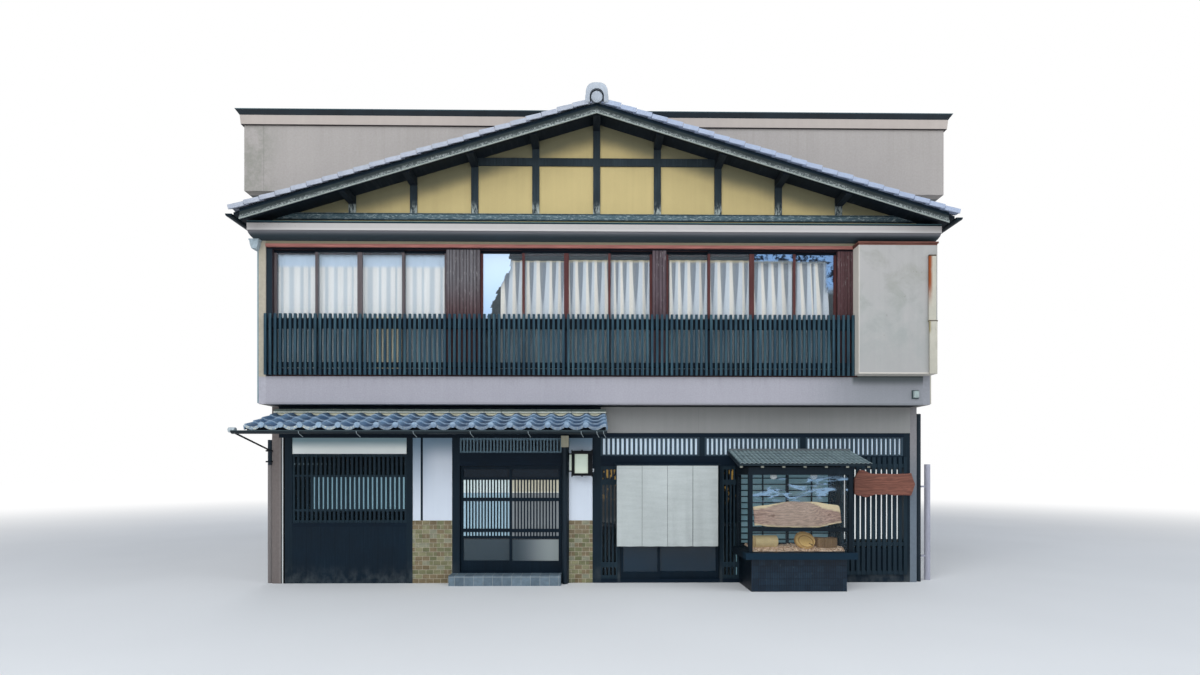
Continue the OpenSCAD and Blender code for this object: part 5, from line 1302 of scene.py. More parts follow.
class TOWNHOUSE_OT_upper_curtains(bpy.types.Operator):
    """Curtains behind the upper windows: sheer at the left, pleated cream at the others."""

    bl_idname = "townhouse.upper_curtains"
    bl_label = "Upper curtains"

    def execute(self, context):
        low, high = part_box("upper_curtains")
        y = (low.y + high.y) / 2
        z0, z1 = low.z, high.z
        f = Finish("curtain_cotton", 0.9, 0.1)
        weave = f.noise((260, 40, 260), 2)
        fold = f.tone("fold")
        # Painted light on the pleats: one flank of each fold lighter, the fold valleys painted shade,
        # widest towards the head.
        f.base = f.mix(f.rise(f.tone("flank"), 0.75, 0.3), rgb(232, 226, 214), rgb(198, 206, 214))
        f.lay(rgb(160, 168, 178), f.rise(fold, 0.5, 0.95), 0.5)
        open_at = f.less(1.02, f.both(f.rise(f.z, 4.35, 5.15), 0.5))
        open_at = f.less(open_at, f.both(f.noise((2.5, 2.5, 0.8), 2), 0.2))
        deep = f.rise(f.less(fold, open_at), 0.0, 0.16)
        f.lay(rgb(92, 100, 112), deep, 0.75)
        f.cloud(0.08, weave, (0.3, 0.7))
        f.lay(rgb(196, 180, 140), f.rise(f.z, 5.13, 5.19))
        dim = f.rise(f.z, 4.30, 4.22)
        f.lay(rgb(66, 96, 110), dim, 0.62)
        f.bump(weave, 0.001, 0.3)
        # The cotton glows a little: painted light.
        f.done(0.06, Sheen_Weight=0.1)
        g = Finish("sheer_voile", 0.85, 0.1)
        thread = g.noise((300, 40, 300), 2)
        fold = g.tone("fold")
        # Painted shade in the folds.
        g.base = g.mix(g.rise(fold, 0.35, 0.95), rgb(230, 230, 228), rgb(194, 202, 208))
        g.cloud(0.05, thread, (0.3, 0.7))
        g.cloud(0.1, g.noise((9, 9, 0.4), 3), (0.3, 0.7))
        # Painted sky reflection: the sheer turns pale blue at its top.
        g.lay(rgb(186, 204, 222), g.rise(g.z, 5.02, 5.1))
        dim = g.rise(g.z, 4.30, 4.22)
        g.lay(rgb(52, 80, 94), dim, 0.62)
        lit = g.both(dim, g.band(g.x, -3.51, -3.06, 0.03))
        g.lay(rgb(214, 202, 172), lit, 0.8)
        g.bump(thread, 0.001, 0.2)
        # The voile glows a little: painted light.
        g.done(0.12)
        for number, x0, x1, mat, depth, pitch, lean, cut, head in (
                (1, low.x + 0.004, -2.41, g.mat, 0.02, 0.135, 0.0, 1.03, z1),
                (2, -1.52, -0.475, f.mat, 0.045, 0.145, -0.03, 1.07, 5.17),
                (3, -0.465, 0.85, f.mat, 0.045, 0.15, 0.0, 1.07, 5.185),
                (4, 1.16, 2.45, f.mat, 0.045, 0.16, 0.0, 1.07, 5.19),
                (5, 2.46, high.x - 0.1, f.mat, 0.045, 0.155, 0.08, 1.07, 5.2)):
            obj, flat = pleats(x0, x1, z0, head, y, depth, pitch, lean, number, cut)
            modify(obj, "SOLIDIFY", thickness=CLOTH, offset=0.0)
            settle(obj, "upper_curtain_%d" % number, mat, smooth=180.0)
            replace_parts(obj, "upper_curtains")
        return {"FINISHED"}


class TOWNHOUSE_OT_show_window_roof(bpy.types.Operator):
    """Small ribbed tiles, ridge cover and rafter ends over the show window."""

    bl_idname = "townhouse.show_window_roof"
    bl_label = "Show window roof"

    def execute(self, context):
        low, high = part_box("show_window_roof")
        f = Finish("small_roof_tiles", 0.55, 0.35)
        tone = f.tone("tone")
        f.base = f.mix(tone, rgb(66, 86, 92), rgb(104, 124, 128))
        # Painted light: crests lighter and valleys darker by the high mark.
        high_part = f.tone("high")
        f.lay(rgb(140, 156, 158), high_part, 0.55)
        f.lay(rgb(38, 54, 62), f.less(1.0, high_part), 0.5)
        spots = f.grow(f.noise(30, 5, 0.7), 0.56, 0.68)
        f.lay(rgb(158, 166, 158), spots, 0.5)
        f.lay(rgb(150, 164, 166), f.tone("edge"), 0.5)
        f.bump(f.noise(70), 0.002, 0.4)
        f.done()

        x0, x1 = low.x + 0.012, high.x - 0.006
        y_eave, y_top = low.y + 0.004, high.y - 0.005
        slope = 0.3
        z_eave = 1.925
        theta = math.atan(slope)
        length = (y_top - y_eave) / math.cos(theta)
        columns = round((x1 - x0) / 0.068)
        step = (x1 - x0) / columns
        rows = 5
        run = length / rows
        tile = primitive("grid", x_subdivisions=8, y_subdivisions=2, size=1.0)
        thick = 0.008

        def shape(co):
            u, row = co.x + 0.5, round((co.y + 0.5) * 2)
            return (u * step, (0.0, 0.006, run + 0.01)[row],
                    0.016 * math.sin(math.pi * u) ** 1.4 + thick)

        bend(tile, shape)
        modify(tile, "SOLIDIFY", thickness=thick, offset=-1.0)
        mark(tile, "edge", lambda co: 1.0 if co.y < 0.003 else 0.0)
        # high holds the roll's height, for the painted crest highlight and valley shade.
        mark(tile, "high", lambda co: max(0.0, math.sin(math.pi * co.x / step)))
        chance = spread(21)
        place = slope_matrix(Vector((x0, y_eave, z_eave)), (1.0, 0.0, 0.0),
                             (0.0, math.cos(theta), math.sin(theta)))
        tilt = Matrix.Rotation(-math.asin(thick / run), 4, "X")
        made = []
        for row in range(rows):
            for column in range(columns):
                shift = Matrix.Translation((column * step, row * run, thick * 0.7))
                made.append(copy_to(tile, place @ shift @ tilt, chance.random()))
        remove(tile)
        obj = settle(join(made), "show_window_tiles", f.mat, smooth=50.0)
        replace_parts(obj, "show_window_roof")

        g = timber("show_window_eave_wood", rgb(42, 54, 62), FINE_LEVEL, worn_amount=0.4,
                   bare=rgb(110, 116, 116))
        deck = bar(x0 - 0.004, x1 + 0.002, 0.0, length, -0.022, 0.0, 0.003)
        deck.data.transform(Matrix.Translation((-x0, 0.0, 0.0)) @ place)
        fascia = bar(x0 - 0.006, x1 + 0.004, y_eave + 0.002, y_eave + 0.022, 1.9, 1.93, 0.003)
        obj = settle(join([deck, fascia]), "show_window_deck", g.done())
        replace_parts(obj, "show_window_roof")

        h = timber("ridge_cover_sheet", rgb(104, 112, 116), LEVEL, worn_amount=0.3,
                   bare=rgb(150, 154, 152))
        lid = bar(x0 + 0.02, x1 - 0.02, y_top - 0.07, y_top + 0.004, 2.135, 2.182, 0.006)
        lip = bar(x0 + 0.015, x1 - 0.015, y_top - 0.078, y_top - 0.066, 2.128, 2.186, 0.003)
        obj = settle(join([lid, lip]), "show_window_ridge_cover", h.done())
        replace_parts(obj, "show_window_roof")

        k = timber("rafter_end_paint", rgb(150, 152, 140), (20.0, 20.0, 20.0), worn_amount=0.3,
                   bare=rgb(180, 180, 168))
        ends, beams = [], []
        for i in range(7):
            x = 2.162 + i * 0.3197
            ends.append(bar(x - 0.022, x + 0.022, y_eave + 0.016, y_eave + 0.022, 1.872, 1.9, 0.002))
            beam = bar(x - 0.02, x + 0.02, 0.0, length - 0.02, -0.056, -0.02, 0.003)
            beam.data.transform(Matrix.Translation((0.0, y_eave + 0.022, z_eave))
                                @ Matrix.Rotation(theta, 4, "X"))
            beams.append(beam)
        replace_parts(settle(join(ends), "rafter_ends", k.done()), "show_window_roof")
        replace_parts(settle(join(beams), "show_window_rafters", g.mat),
                    "show_window_roof")
        return {"FINISHED"}


PLANK = ((2.366, 1.284), (2.457, 1.296), (2.604, 1.310), (2.721, 1.332), (2.853, 1.354),
         (2.971, 1.365), (3.030, 1.361), (3.118, 1.357), (3.221, 1.357), (3.338, 1.354),
         (3.412, 1.339), (3.500, 1.324), (3.589, 1.312), (3.647, 1.307), (3.677, 1.287),
         (3.692, 1.222), (3.703, 1.104), (3.711, 1.040), (3.647, 1.031), (3.559, 1.014),
         (3.471, 0.990), (3.382, 0.973), (3.294, 0.961), (3.177, 0.951), (3.059, 0.959),
         (2.912, 0.973), (2.750, 0.974), (2.589, 0.981), (2.472, 1.003), (2.391, 0.996),
         (2.384, 1.135))
SAP_TOP = ((2.36, 1.245), (2.53, 1.259), (2.706, 1.312), (2.853, 1.352), (2.971, 1.364),
           (3.118, 1.356), (3.221, 1.350), (3.353, 1.302), (3.412, 1.263), (3.559, 1.233),
           (3.72, 1.190))
SAP_LOW = ((2.36, 1.030), (2.589, 1.000), (2.75, 0.991), (2.912, 0.988), (3.177, 0.970),
           (3.382, 0.990), (3.559, 1.031), (3.72, 1.055))
SIGN = ((4.144, 1.560), (4.146, 1.700), (4.176, 1.768), (4.226, 1.842), (4.300, 1.836),
        (4.372, 1.800), (4.440, 1.778), (4.590, 1.782), (4.794, 1.776), (5.000, 1.782),
        (5.066, 1.790), (5.092, 1.700), (5.128, 1.612), (5.090, 1.500), (5.062, 1.428),
        (4.900, 1.436), (4.794, 1.430), (4.690, 1.448), (4.590, 1.440), (4.470, 1.446),
        (4.400, 1.418), (4.330, 1.398), (4.262, 1.420), (4.204, 1.432), (4.146, 1.452))


def along(line, x):
    """Height of a broken line at x."""
    for (xa, za), (xb, zb) in zip(line, line[1:]):
        if x <= xb:
            return za + (zb - za) * max(0.0, (x - xa)) / (xb - xa)
    return line[-1][1]


def live_board(points, y0, y1, cuts):
    """A sawn board with a live edge: its outline filled, cut fine and rounded."""
    obj = plate(points, y0, y1, 0.006, 3)
    bpy.ops.object.mode_set(mode="EDIT")
    xs = [p[0] for p in points]
    zs = [p[1] for p in points]
    for axis, low, high, count in ((0, min(xs), max(xs), cuts), (2, min(zs), max(zs), cuts // 3)):
        for i in range(1, count):
            spot = [0.0, 0.0, 0.0]
            spot[axis] = low + (high - low) * i / count
            normal = [0.0, 0.0, 0.0]
            normal[axis] = 1.0
            bpy.ops.mesh.select_all(action="SELECT")
            bpy.ops.mesh.bisect(plane_co=spot, plane_no=normal)
    bpy.ops.object.mode_set(mode="OBJECT")
    return obj


class TOWNHOUSE_OT_show_window_goods(bpy.types.Operator):
    """Bare live-edge plank, log, slice, block and chips behind the show window's glass."""

    bl_idname = "townhouse.show_window_goods"
    bl_label = "Show window goods"

    def execute(self, context):
        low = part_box("show_window_goods")[0]
        f = Finish("plank_grain", 0.55, 0.25)
        curve = f.noise((1.6, 1, 5), 4, 0.6, 0.6)
        rings = f.wave(f.plus(f.z, f.both(curve, 0.34)), 150.0)
        fine = f.noise((9, 9, 90), 5, 0.65)
        heart = f.shade(rgb(212, 182, 164), 0.5, f.half(rings), (0.0, 1.0))
        heart = f.shade(heart, 0.4, fine, (0.35, 0.65))
        heart = f.mix(f.both(f.noise((2, 2, 4), 3), 0.35), heart, rgb(150, 96, 84))
        heart = f.mix(f.both(f.band(f.x, 2.62, 3.42, 0.25), 0.35), heart, rgb(190, 176, 158))
        sap = f.shade(rgb(230, 212, 172), 0.1, fine, (0.3, 0.7))
        f.base = f.mix(f.tone("sap"), heart, sap)
        for x, z, size in ((3.515, 1.16, 0.022), (2.67, 1.142, 0.03)):
            dx = f.both(f.less(f.x, x), 0.7)
            dz = f.less(f.z, z)
            far = f.distance(dx, dz)
            f.lay(rgb(92, 62, 48), f.rise(far, size, size * 0.2), 0.6)
        f.bump(fine, 0.0015, 0.35)
        # The plank glows a little: painted light.
        f.done(0.12)
        board = live_board(PLANK, low.y + 0.002, low.y + 0.030, 54)

        def sap_at(co):
            top = co.z - along(SAP_TOP, co.x)
            under = along(SAP_LOW, co.x) - co.z
            return min(1.0, max(0.0, 0.5 + max(top, under) / 0.012))

        mark(board, "sap", sap_at)
        obj = settle(board, "live_edge_plank", f.mat)
        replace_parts(obj, "show_window_goods")

        floor = low.z + 0.045
        g = Finish("pale_log", 0.6, 0.2)
        grain = g.noise((3, 60, 60))
        g.base = g.shade(rgb(222, 200, 148), 0.2, grain, (0.3, 0.7))
        g.cloud(0.14, g.noise(8, 3), (0.3, 0.7))
        end = g.less(g.z, 0.739)
        away = g.less(g.y, -5.1)
        turn = g.distance(end, away)
        cut = g.mix(g.lines(turn, 0.016, 0.006), rgb(232, 206, 150), rgb(186, 150, 96))
        g.lay(cut, g.rise(g.x, 2.416, 2.408))
        edge = g.both(g.band(g.x, 2.412, 2.424, 0.003), 0.6)
        g.lay(rgb(150, 118, 74), edge)
        g.bump(grain, 0.001, 0.3)
        # The log glows a little: painted light.
        g.done(0.15)
        log = rod((2.40, -5.10, floor + 0.094), (2.775, -5.06, floor + 0.094), 0.093, 0.012, 48)
        core = rod((2.397, -5.1003, floor + 0.094), (2.41, -5.099, floor + 0.094), 0.052, 0.002, 32)
        knot = rod((2.73, -5.16, floor + 0.03), (2.73, -5.13, floor + 0.035), 0.018, 0.004)
        obj = settle(join([log, core, knot]), "peeled_log", g.mat)
        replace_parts(obj, "show_window_goods")

        h = Finish("slice_rings", 0.5, 0.25)
        dx = h.less(h.x, 3.216)
        dz = h.both(h.less(h.z, 0.742), 1.42)
        far = h.distance(dx, dz)
        wave = h.plus(far, h.both(h.noise(12, 2), 0.012))
        ring = h.wave(wave, 520.0)
        h.base = h.shade(rgb(226, 190, 122), 0.12, h.half(ring), (0.0, 1.0))
        h.lay(rgb(158, 116, 66), h.band(far, 0.1, 0.118, 0.004), 0.8)
        h.lay(rgb(206, 166, 100), h.rise(far, 0.098, 0.06), 0.35)
        h.lay(rgb(186, 148, 92), h.rise(far, 0.147, 0.152))
        angle = h.math("ARCTAN2", dz, dx)
        crack = h.both(h.band(angle, -0.82, -0.62, 0.03), h.band(far, 0.05, 0.118, 0.004))
        h.lay(rgb(62, 40, 22), crack)
        h.bump(ring, 0.001, 0.3)
        # The slice glows a little: painted light.
        h.done(0.15)
        lean = Matrix.Rotation(math.radians(44.0), 4, "X")
        disc = primitive("cylinder", vertices=64, radius=0.153, depth=0.065)
        modify(disc, "BEVEL", width=0.006, segments=3, limit_method="ANGLE")
        disc.data.transform(Matrix.Translation((3.216, -5.06, floor + 0.105)) @ lean)
        obj = settle(disc, "leaning_slice", h.mat)
        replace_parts(obj, "show_window_goods")

        k = timber("split_block_wood", rgb(168, 136, 98), (40.0, 40.0, 3.0), worn_amount=0.3, vary=0.42,
                   bare=rgb(196, 170, 128))
        dx = k.less(k.x, 3.6)
        dz = k.less(k.z, 0.7)
        far = k.distance(dx, dz)
        ring = k.wave(k.plus(far, k.both(k.noise(9, 3), 0.03)), 420.0)
        k.cloud(0.25, k.half(ring), (0.0, 1.0))
        crack = k.band(k.plus(k.x, k.both(k.noise((1, 1, 18), 3), 0.012)), 3.487, 3.492, 0.0015)
        k.lay(rgb(60, 42, 28), crack, 0.8)
        # The block glows a little: painted light.
        k.done(0.12)
        block = bar(3.39, 3.685, -5.16, -4.98, floor, floor + 0.15, 0.01, 3)
        modify(block, "SUBSURF", subdivision_type="SIMPLE", levels=3, render_levels=3)
        bend(block, lambda co: (co.x, co.y + 0.004 * math.sin(23 * co.x) * math.sin(17 * co.z),
                                co.z + 0.004 * math.sin(19 * co.x)))
        obj = settle(block, "split_block", k.mat)
        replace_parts(obj, "show_window_goods")

        m = Finish("wood_chips", 0.7, 0.15)
        tone = m.tone("tone")
        m.base = m.ramp(tone, [(0.0, rgb(150, 108, 82)), (0.35, rgb(206, 164, 128)),
                               (0.7, rgb(228, 196, 160)), (1.0, rgb(240, 222, 196))])
        speck = m.ramp(m.noise(42, 3, 0.7), [(0.4, rgb(74, 52, 38)), (0.47, rgb(186, 158, 134)),
                                             (0.55, rgb(232, 216, 192)), (0.62, rgb(250, 242, 226))])
        m.lay(speck, 0.75)
        # The chips glow a little: painted light.
        m.done(0.15)
        chance = spread(12)
        chip = bar(-0.014, 0.014, -0.008, 0.008, -0.002, 0.002, 0.001, 1)
        bend(chip, lambda co: (co.x, co.y, co.z + 0.003 * math.cos(co.x * 160)))
        chips = []
        for _ in range(sizes().chip_count):
            x = chance.uniform(2.375, 3.765)
            y = chance.uniform(-5.215, -5.04) if chance.random() < 0.7 else chance.uniform(-5.04, -4.73)
            z = floor + chance.uniform(-0.010, 0.008) + 0.014 * math.sin(4 * x + 5 * y) ** 2
            z -= max(0.0, -5.13 - y) * 0.45
            turn = (Matrix.Rotation(chance.uniform(0, 6.28), 4, "Z")
                    @ Matrix.Rotation(chance.uniform(-0.9, 0.9), 4, "X")
                    @ Matrix.Rotation(chance.uniform(-0.6, 0.6), 4, "Y"))
            size = Matrix.Scale(chance.uniform(0.6, 1.35), 4)
            chips.append(copy_to(chip, Matrix.Translation((x, y, z)) @ turn @ size,
                                 chance.random()))
        remove(chip)
        heap = primitive("grid", x_subdivisions=60, y_subdivisions=24, size=1.0)
        bend(heap, lambda co: (3.07 + co.x * 1.4, -4.965 + co.y * 0.5,
                               floor - 0.012 + 0.014 * math.sin(
                                   4 * (3.07 + co.x * 1.4) + 5 * (-4.965 + co.y * 0.5)) ** 2
                               - max(0.0, 4.965 - 5.13 - co.y * 0.5) * 0.45))
        modify(heap, "SOLIDIFY", thickness=0.008, offset=-1.0)
        layer = heap.data.attributes.new("tone", "FLOAT", "FACE")
        layer.data.foreach_set("value", [chance.random() for _ in heap.data.polygons])
        obj = settle(join([heap] + chips), "chip_bed", m.mat)
        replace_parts(obj, "show_window_goods")
        return {"FINISHED"}


class TOWNHOUSE_OT_signs_and_lamps(bpy.types.Operator):
    """Bare sign board, lantern glass, small lamps and the door phone."""

    bl_idname = "townhouse.signs_and_lamps"
    bl_label = "Signs and lamps"

    def execute(self, context):
        f = Finish("sign_wood", 0.5, 0.3)
        curve = f.noise((1.2, 1, 5), 4, 0.6, 0.5)
        fine = f.noise((6, 30, 80), 5, 0.65)
        rings = f.wave(f.plus(f.z, f.both(curve, 0.25)), 150.0)
        f.base = f.shade(colours().sign, 0.45, f.half(rings), (0.0, 1.0))
        f.cloud(0.4, fine, (0.35, 0.65))
        rim = f.most(f.rise(f.z, 1.47, 1.43), f.rise(f.z, 1.77, 1.8))
        f.lay(rgb(92, 48, 42), rim, f.ramp(fine, [(0.4, 0.3), (0.6, 1.0)]), 0.6)
        f.lay(rgb(160, 110, 100), f.noise((2, 2, 5), 3), 0.3)
        f.bump(fine, 0.002, 0.4)
        f.done()
        y0 = -4.742
        board = live_board(SIGN, y0, y0 + sizes().sign_thickness, 24)
        settle(board, "bare_sign_board", f.mat)

        iron = plain("bracket_iron", rgb(30, 32, 36), 0.3, 40, metal=0.5)
        parts = []
        for x in (4.32, 4.95):
            parts.append(bar(x - 0.012, x + 0.012, y0 + sizes().sign_thickness - 0.002,
                             -4.578, 1.66, 1.68, 0.003))
            parts.append(bar(x - 0.02, x + 0.02, -4.586, -4.578, 1.60, 1.74, 0.002))
        settle(join(parts), "sign_brackets", iron)

        case = [bar(-0.397, -0.348, -4.790, -4.762, 1.751, 2.140, 0.004),
                bar(-0.138, -0.066, -4.790, -4.762, 1.751, 2.140, 0.004),
                bar(-0.402, -0.060, -4.794, -4.760, 2.095, 2.146, 0.005),
                bar(-0.402, -0.060, -4.794, -4.760, 1.748, 1.788, 0.005),
                bar(-0.440, -0.394, -4.755, -4.735, 2.086, 2.106, 0.003),
                bar(-0.440, -0.394, -4.755, -4.735, 1.812, 1.832, 0.003)]
        for x in (-0.392, -0.232, -0.072):
            for z in (1.745, 2.152):
                ball = primitive("uv_sphere", segments=16, ring_count=10, radius=0.013)
                ball.data.transform(Matrix.Translation((x, -4.778, z)))
                case.append(ball)
        iron = plain("lantern_case_iron", rgb(12, 18, 23), 0.4, 40, rough=0.45, metal=0.4)
        settle(join(case), "lantern_case", iron)
        h = Finish("lantern_paper", 0.7, 0.2)
        pulp = h.noise(60)
        h.base = h.shade(rgb(186, 198, 184), 0.06, pulp, (0.3, 0.7))
        h.lay(rgb(198, 208, 192), h.rise(h.z, 1.95, 1.8))
        h.bump(pulp, 0.0006, 0.3)
        h.done(0.2)
        panes = [bar(-0.350, -0.136, -4.776, -4.768, 1.784, 2.098, 0.002),
                 bar(-0.432, -0.396, -4.748, -4.742, 1.830, 2.088, 0.002)]
        settle(join(panes), "lantern_panes", h.mat)

        m = Finish("phone_shell", 0.4, 0.4)
        near = m.both(m.band(m.x, -0.075, -0.055, 0.003), m.band(m.z, 1.825, 1.849, 0.003))
        m.base = m.shade(rgb(206, 212, 218), 0.05, m.noise(80, 2))
        m.lay(rgb(24, 28, 34), near)
        phone = bar(-0.089, -0.041, -4.578, -4.546, 1.810, 1.864, 0.006, 3)
        settle(phone, "door_phone", m.done())

        n = Finish("lamp_ring", 0.35, 0.5)
        n.base = n.shade(rgb(206, 216, 220), 0.05, n.noise(50, 2))
        n.done(0.25)
        lamps = []
        for x in (2.755, 3.385):
            ball = primitive("uv_sphere", segments=32, ring_count=20, radius=0.052)
            bend(ball, lambda co: (co.x, co.y, co.z * 0.85))
            ball.data.transform(Matrix.Translation((x, -5.0, 1.738)))
            lamps.append(ball)
            lamps.append(rod((x, -5.0, 1.765), (x, -5.0, 1.800), 0.030, 0.003, 24))
        settle(join(lamps), "window_lamps", n.mat)
        return {"FINISHED"}


class TOWNHOUSE_OT_metalwork(bpy.types.Operator):
    """Gutter hangers, cap and brace, rain hopper, pipe cover and the small box on the band."""

    bl_idname = "townhouse.metalwork"
    bl_label = "Metalwork"

    def execute(self, context):
        steel = plain("hanger_wire", rgb(150, 162, 166), 0.3, 60, rough=0.45, metal=0.3)
        wires = []
        for x in (-4.321, -3.487, -2.666, -1.841, -1.001, -0.230, -0.002, 0.096):
            wires.append(rod((x, -5.538, 2.404), (x + 0.004, -5.535, 2.366), 0.005, 0.001, 10))
            wires.append(rod((x + 0.003, -5.535, 2.368), (x + 0.034, -5.47, 2.318), 0.005, 0.001, 10))
        settle(join(wires), "gutter_hangers", steel)

        zinc = plain("gutter_cap_zinc", rgb(186, 196, 200), 0.15, 30, 4, 0.4, 0.2)
        cap = rod((-5.346, -5.492, 2.420), (-5.250, -5.492, 2.420), 0.038, 0.006, 32)
        settle(cap, "gutter_end_cap", zinc)

        iron = plain("brace_iron", rgb(14, 26, 34), 0.4, 30, metal=0.3)
        brace = [rod((-5.27, -5.46, 2.372), (-5.27, -4.60, 2.160), 0.013, 0.002, 14)]
        for z in (2.150, 1.975):
            brace.append(bar(-5.330, -5.240, -4.610, -4.560, z - 0.012, z + 0.012, 0.003))
        settle(join(brace), "gutter_brace", iron)

        zinc = plain("hopper_zinc", rgb(168, 184, 192), 0.2, 24, 4, 0.45, 0.1)
        hopper = plate(((-5.362, 5.400), (-5.218, 5.400), (-5.226, 5.330), (-5.250, 5.262),
                        (-5.330, 5.262), (-5.354, 5.330)), -4.99, -4.86, 0.006)
        lip = bar(-5.370, -5.210, -4.998, -4.852, 5.388, 5.410, 0.004)
        settle(join([hopper, lip]), "rain_hopper", zinc)

        m = Finish("cover_paint", 0.5, 0.35)
        m.base = m.shade(rgb(186, 182, 168), 0.12, m.noise(12), (0.3, 0.7))
        near = m.rise(m.x, 5.178, 5.128)
        eaten = m.ramp(m.noise((14, 14, 4), 5, 0.7), [(0.25, 0.2), (0.48, 1.0)])
        high = m.rise(m.z, 4.30, 4.75)
        m.lay(rgb(136, 70, 32), near, eaten, high)
        seam = m.both(m.band(m.z, 3.96, 4.14, 0.04), m.rise(m.x, 5.15, 5.12))
        m.lay(rgb(142, 124, 66), seam, 0.7)
        top = m.most(m.rise(m.z, 5.128, 5.134), m.band(m.z, 4.128, 4.142, 0.002))
        m.lay(rgb(70, 58, 46), top)
        m.done()
        covers = [bar(5.112, 5.226, -5.141, -5.112, 4.140, 5.154, 0.006, 3),
                  bar(5.122, 5.240, -5.144, -5.112, 3.318, 4.130, 0.006, 3),
                  bar(5.110, 5.244, -5.147, -5.112, 4.120, 4.146, 0.003)]
        for x, z in ((5.150, 4.036), (5.200, 4.036), (5.150, 4.008), (5.210, 4.008)):
            covers.append(rod((x, -5.150, z), (x, -5.120, z), 0.006, 0.001, 12))
        settle(join(covers), "rusty_pipe_cover", m.mat)

        n = Finish("junction_box_grey", 0.45, 0.4)
        lid = n.shade(rgb(158, 172, 170), 0.15, n.noise(30, 3))
        n.base = n.mix(n.rise(n.y, -4.925, -4.935), rgb(56, 70, 72), lid)
        parts = [bar(4.982, 5.062, -4.972, -4.913, 2.974, 3.084, 0.012, 3),
                 bar(4.968, 5.076, -4.924, -4.913, 2.960, 3.098, 0.003)]
        settle(join(parts), "junction_box", n.done())
        return {"FINISHED"}


class TOWNHOUSE_OT_frame_finishes(bpy.types.Operator):
    """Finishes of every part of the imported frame."""

    bl_idname = "townhouse.frame_finishes"
    bl_label = "Frame finishes"

    def execute(self, context):
        upper_finishes()
        ground_finishes()
        glass_finishes()
        return {"FINISHED"}


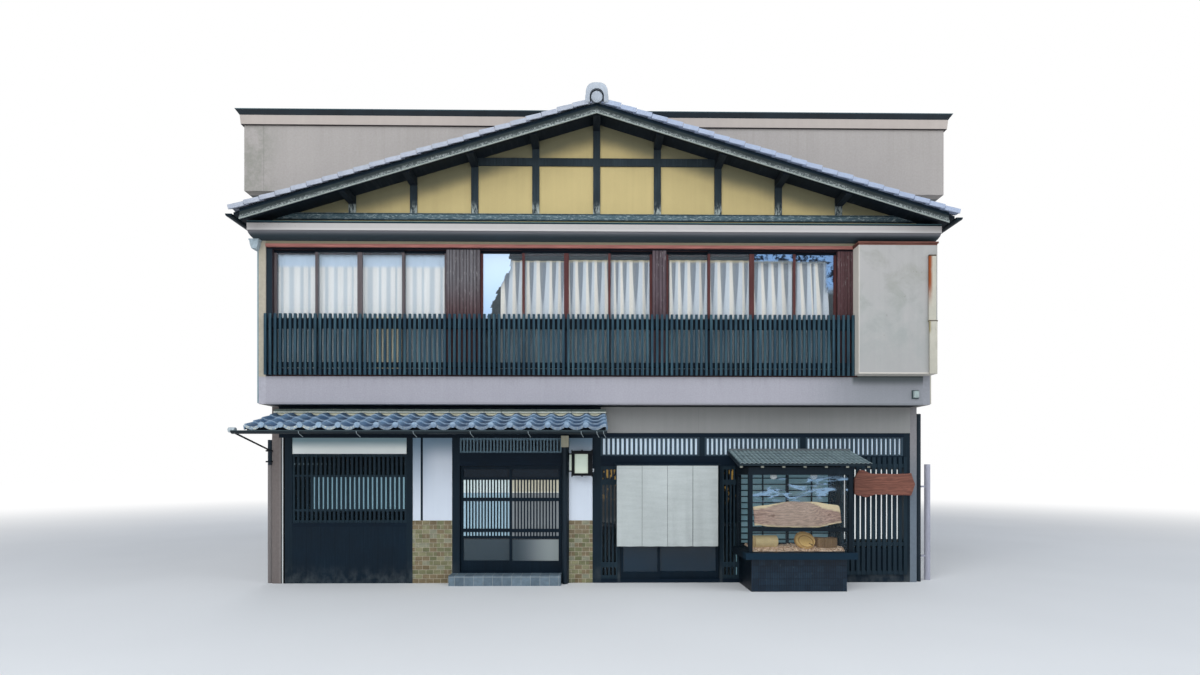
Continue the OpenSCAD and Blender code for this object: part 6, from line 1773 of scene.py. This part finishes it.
class TOWNHOUSE_OT_stage(bpy.types.Operator):
    """Pale floor, soft lamps and the camera at the photograph's angle."""

    bl_idname = "townhouse.stage"
    bl_label = "Stage"

    def execute(self, context):
        scene = context.scene
        scene.view_settings.view_transform = "Standard"
        floor = primitive("plane", size=160.0, location=(0.0, 0.0, -0.001))
        floor.name = "floor"
        f = Finish("floor_pale", 0.9, 0.1)
        pale = f.shade((0.8, 0.8, 0.8), 0.03, f.noise(0.3, 2))
        flat = f.node("VectorMath", {0: f.place}, operation="LENGTH").outputs["Value"]
        far = f.rise(flat, 9.0, 34.0)
        f.set(Base_Color=f.mix(far, pale, (0.0, 0.0, 0.0)), Emission_Color=(1.0, 1.0, 1.0, 1.0),
              Emission_Strength=far)
        floor.data.materials.append(f.mat)

        world = bpy.data.worlds.new("soft_sky")
        scene.world = world
        world.use_nodes = True
        tree = world.node_tree
        tree.nodes.clear()
        out = tree.nodes.new("ShaderNodeOutputWorld")
        path = tree.nodes.new("ShaderNodeLightPath")
        white = tree.nodes.new("ShaderNodeBackground")
        white.inputs["Color"].default_value = (1.0, 1.0, 1.0, 1.0)
        sky = tree.nodes.new("ShaderNodeBackground")
        sky.inputs["Color"].default_value = (0.80, 0.88, 1.0, 1.0)
        sky.inputs["Strength"].default_value = 0.46
        mix = tree.nodes.new("ShaderNodeMixShader")
        tree.links.new(path.outputs["Is Camera Ray"], mix.inputs["Fac"])
        tree.links.new(sky.outputs[0], mix.inputs[1])
        tree.links.new(white.outputs[0], mix.inputs[2])
        tree.links.new(mix.outputs[0], out.inputs["Surface"])

        for name, place, size, power, colour, aim in (
                ("lamp_sky_front", (-7.0, -19.0, 15.0), 14.0, 2050.0, (0.95, 0.98, 1.0),
                 (0.0, -4.0, 3.5)),
                ("lamp_sky_right", (15.0, -12.0, 13.0), 12.0, 1150.0, (0.92, 0.96, 1.0),
                 (0.0, -3.0, 3.5)),
                ("lamp_fill_front", (0.0, -17.0, 3.2), 9.0, 430.0, (0.95, 0.98, 1.0),
                 (0.0, -4.5, 2.2)),
                ("lamp_sky_back", (-10.0, 20.0, 15.0), 14.0, 1500.0, (0.95, 0.97, 1.0),
                 (0.0, 3.0, 3.5))):
            data = bpy.data.lights.new(name, "AREA")
            data.size = size
            data.energy = power
            data.color = colour
            lamp = bpy.data.objects.new(name, data)
            lamp.visible_glossy = False
            scene.collection.objects.link(lamp)
            lamp.location = place
            turn = (Vector(aim) - Vector(place)).to_track_quat("-Z", "Y")
            lamp.rotation_euler = turn.to_euler()

        data = bpy.data.cameras.new("photo_camera")
        data.lens = 16.8
        data.sensor_width = 36.0
        data.shift_x = 0.0
        data.shift_y = 0.112
        camera = bpy.data.objects.new("photo_camera", data)
        scene.collection.objects.link(camera)
        camera.location = (-0.05, -13.69, 1.81)
        camera.rotation_euler = (math.radians(90.0), 0.0, -0.0117)
        scene.camera = camera
        return {"FINISHED"}


OPERATORS = (
    TOWNHOUSE_OT_frame_finishes,
    TOWNHOUSE_OT_door_curtain,
    TOWNHOUSE_OT_canopy_roof,
    TOWNHOUSE_OT_gable_roof,
    TOWNHOUSE_OT_ridge_ornament,
    TOWNHOUSE_OT_upper_curtains,
    TOWNHOUSE_OT_show_window_roof,
    TOWNHOUSE_OT_show_window_goods,
    TOWNHOUSE_OT_signs_and_lamps,
    TOWNHOUSE_OT_metalwork,
    TOWNHOUSE_OT_stage,
)


class TOWNHOUSE_PT_panel(bpy.types.Panel):
    """Lists the townhouse's pieces, sizes and colours."""

    bl_idname = "TOWNHOUSE_PT_panel"
    bl_label = "Machiya townhouse"
    bl_space_type = "VIEW_3D"
    bl_region_type = "UI"
    bl_category = "Townhouse"

    def draw(self, context):
        layout = self.layout
        for group in (context.scene.townhouse_sizes, context.scene.townhouse_colours):
            box = layout.box()
            for name in group.__annotations__:
                box.prop(group, name)
        for operator in OPERATORS:
            layout.operator(operator.bl_idname)


CLASSES = (TownhouseSizes, TownhouseColours) + OPERATORS + (TOWNHOUSE_PT_panel,)


def register():
    for cls in CLASSES:
        bpy.utils.register_class(cls)
    bpy.types.Scene.townhouse_sizes = bpy.props.PointerProperty(type=TownhouseSizes)
    bpy.types.Scene.townhouse_colours = bpy.props.PointerProperty(type=TownhouseColours)


def unregister():
    del bpy.types.Scene.townhouse_colours
    del bpy.types.Scene.townhouse_sizes
    for cls in reversed(CLASSES):
        bpy.utils.unregister_class(cls)


def main():
    """Registers the add-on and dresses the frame."""
    register()
    for operator in OPERATORS:
        group, name = operator.bl_idname.split(".")
        getattr(getattr(bpy.ops, group), name)()


if __name__ == "__main__":
    main()
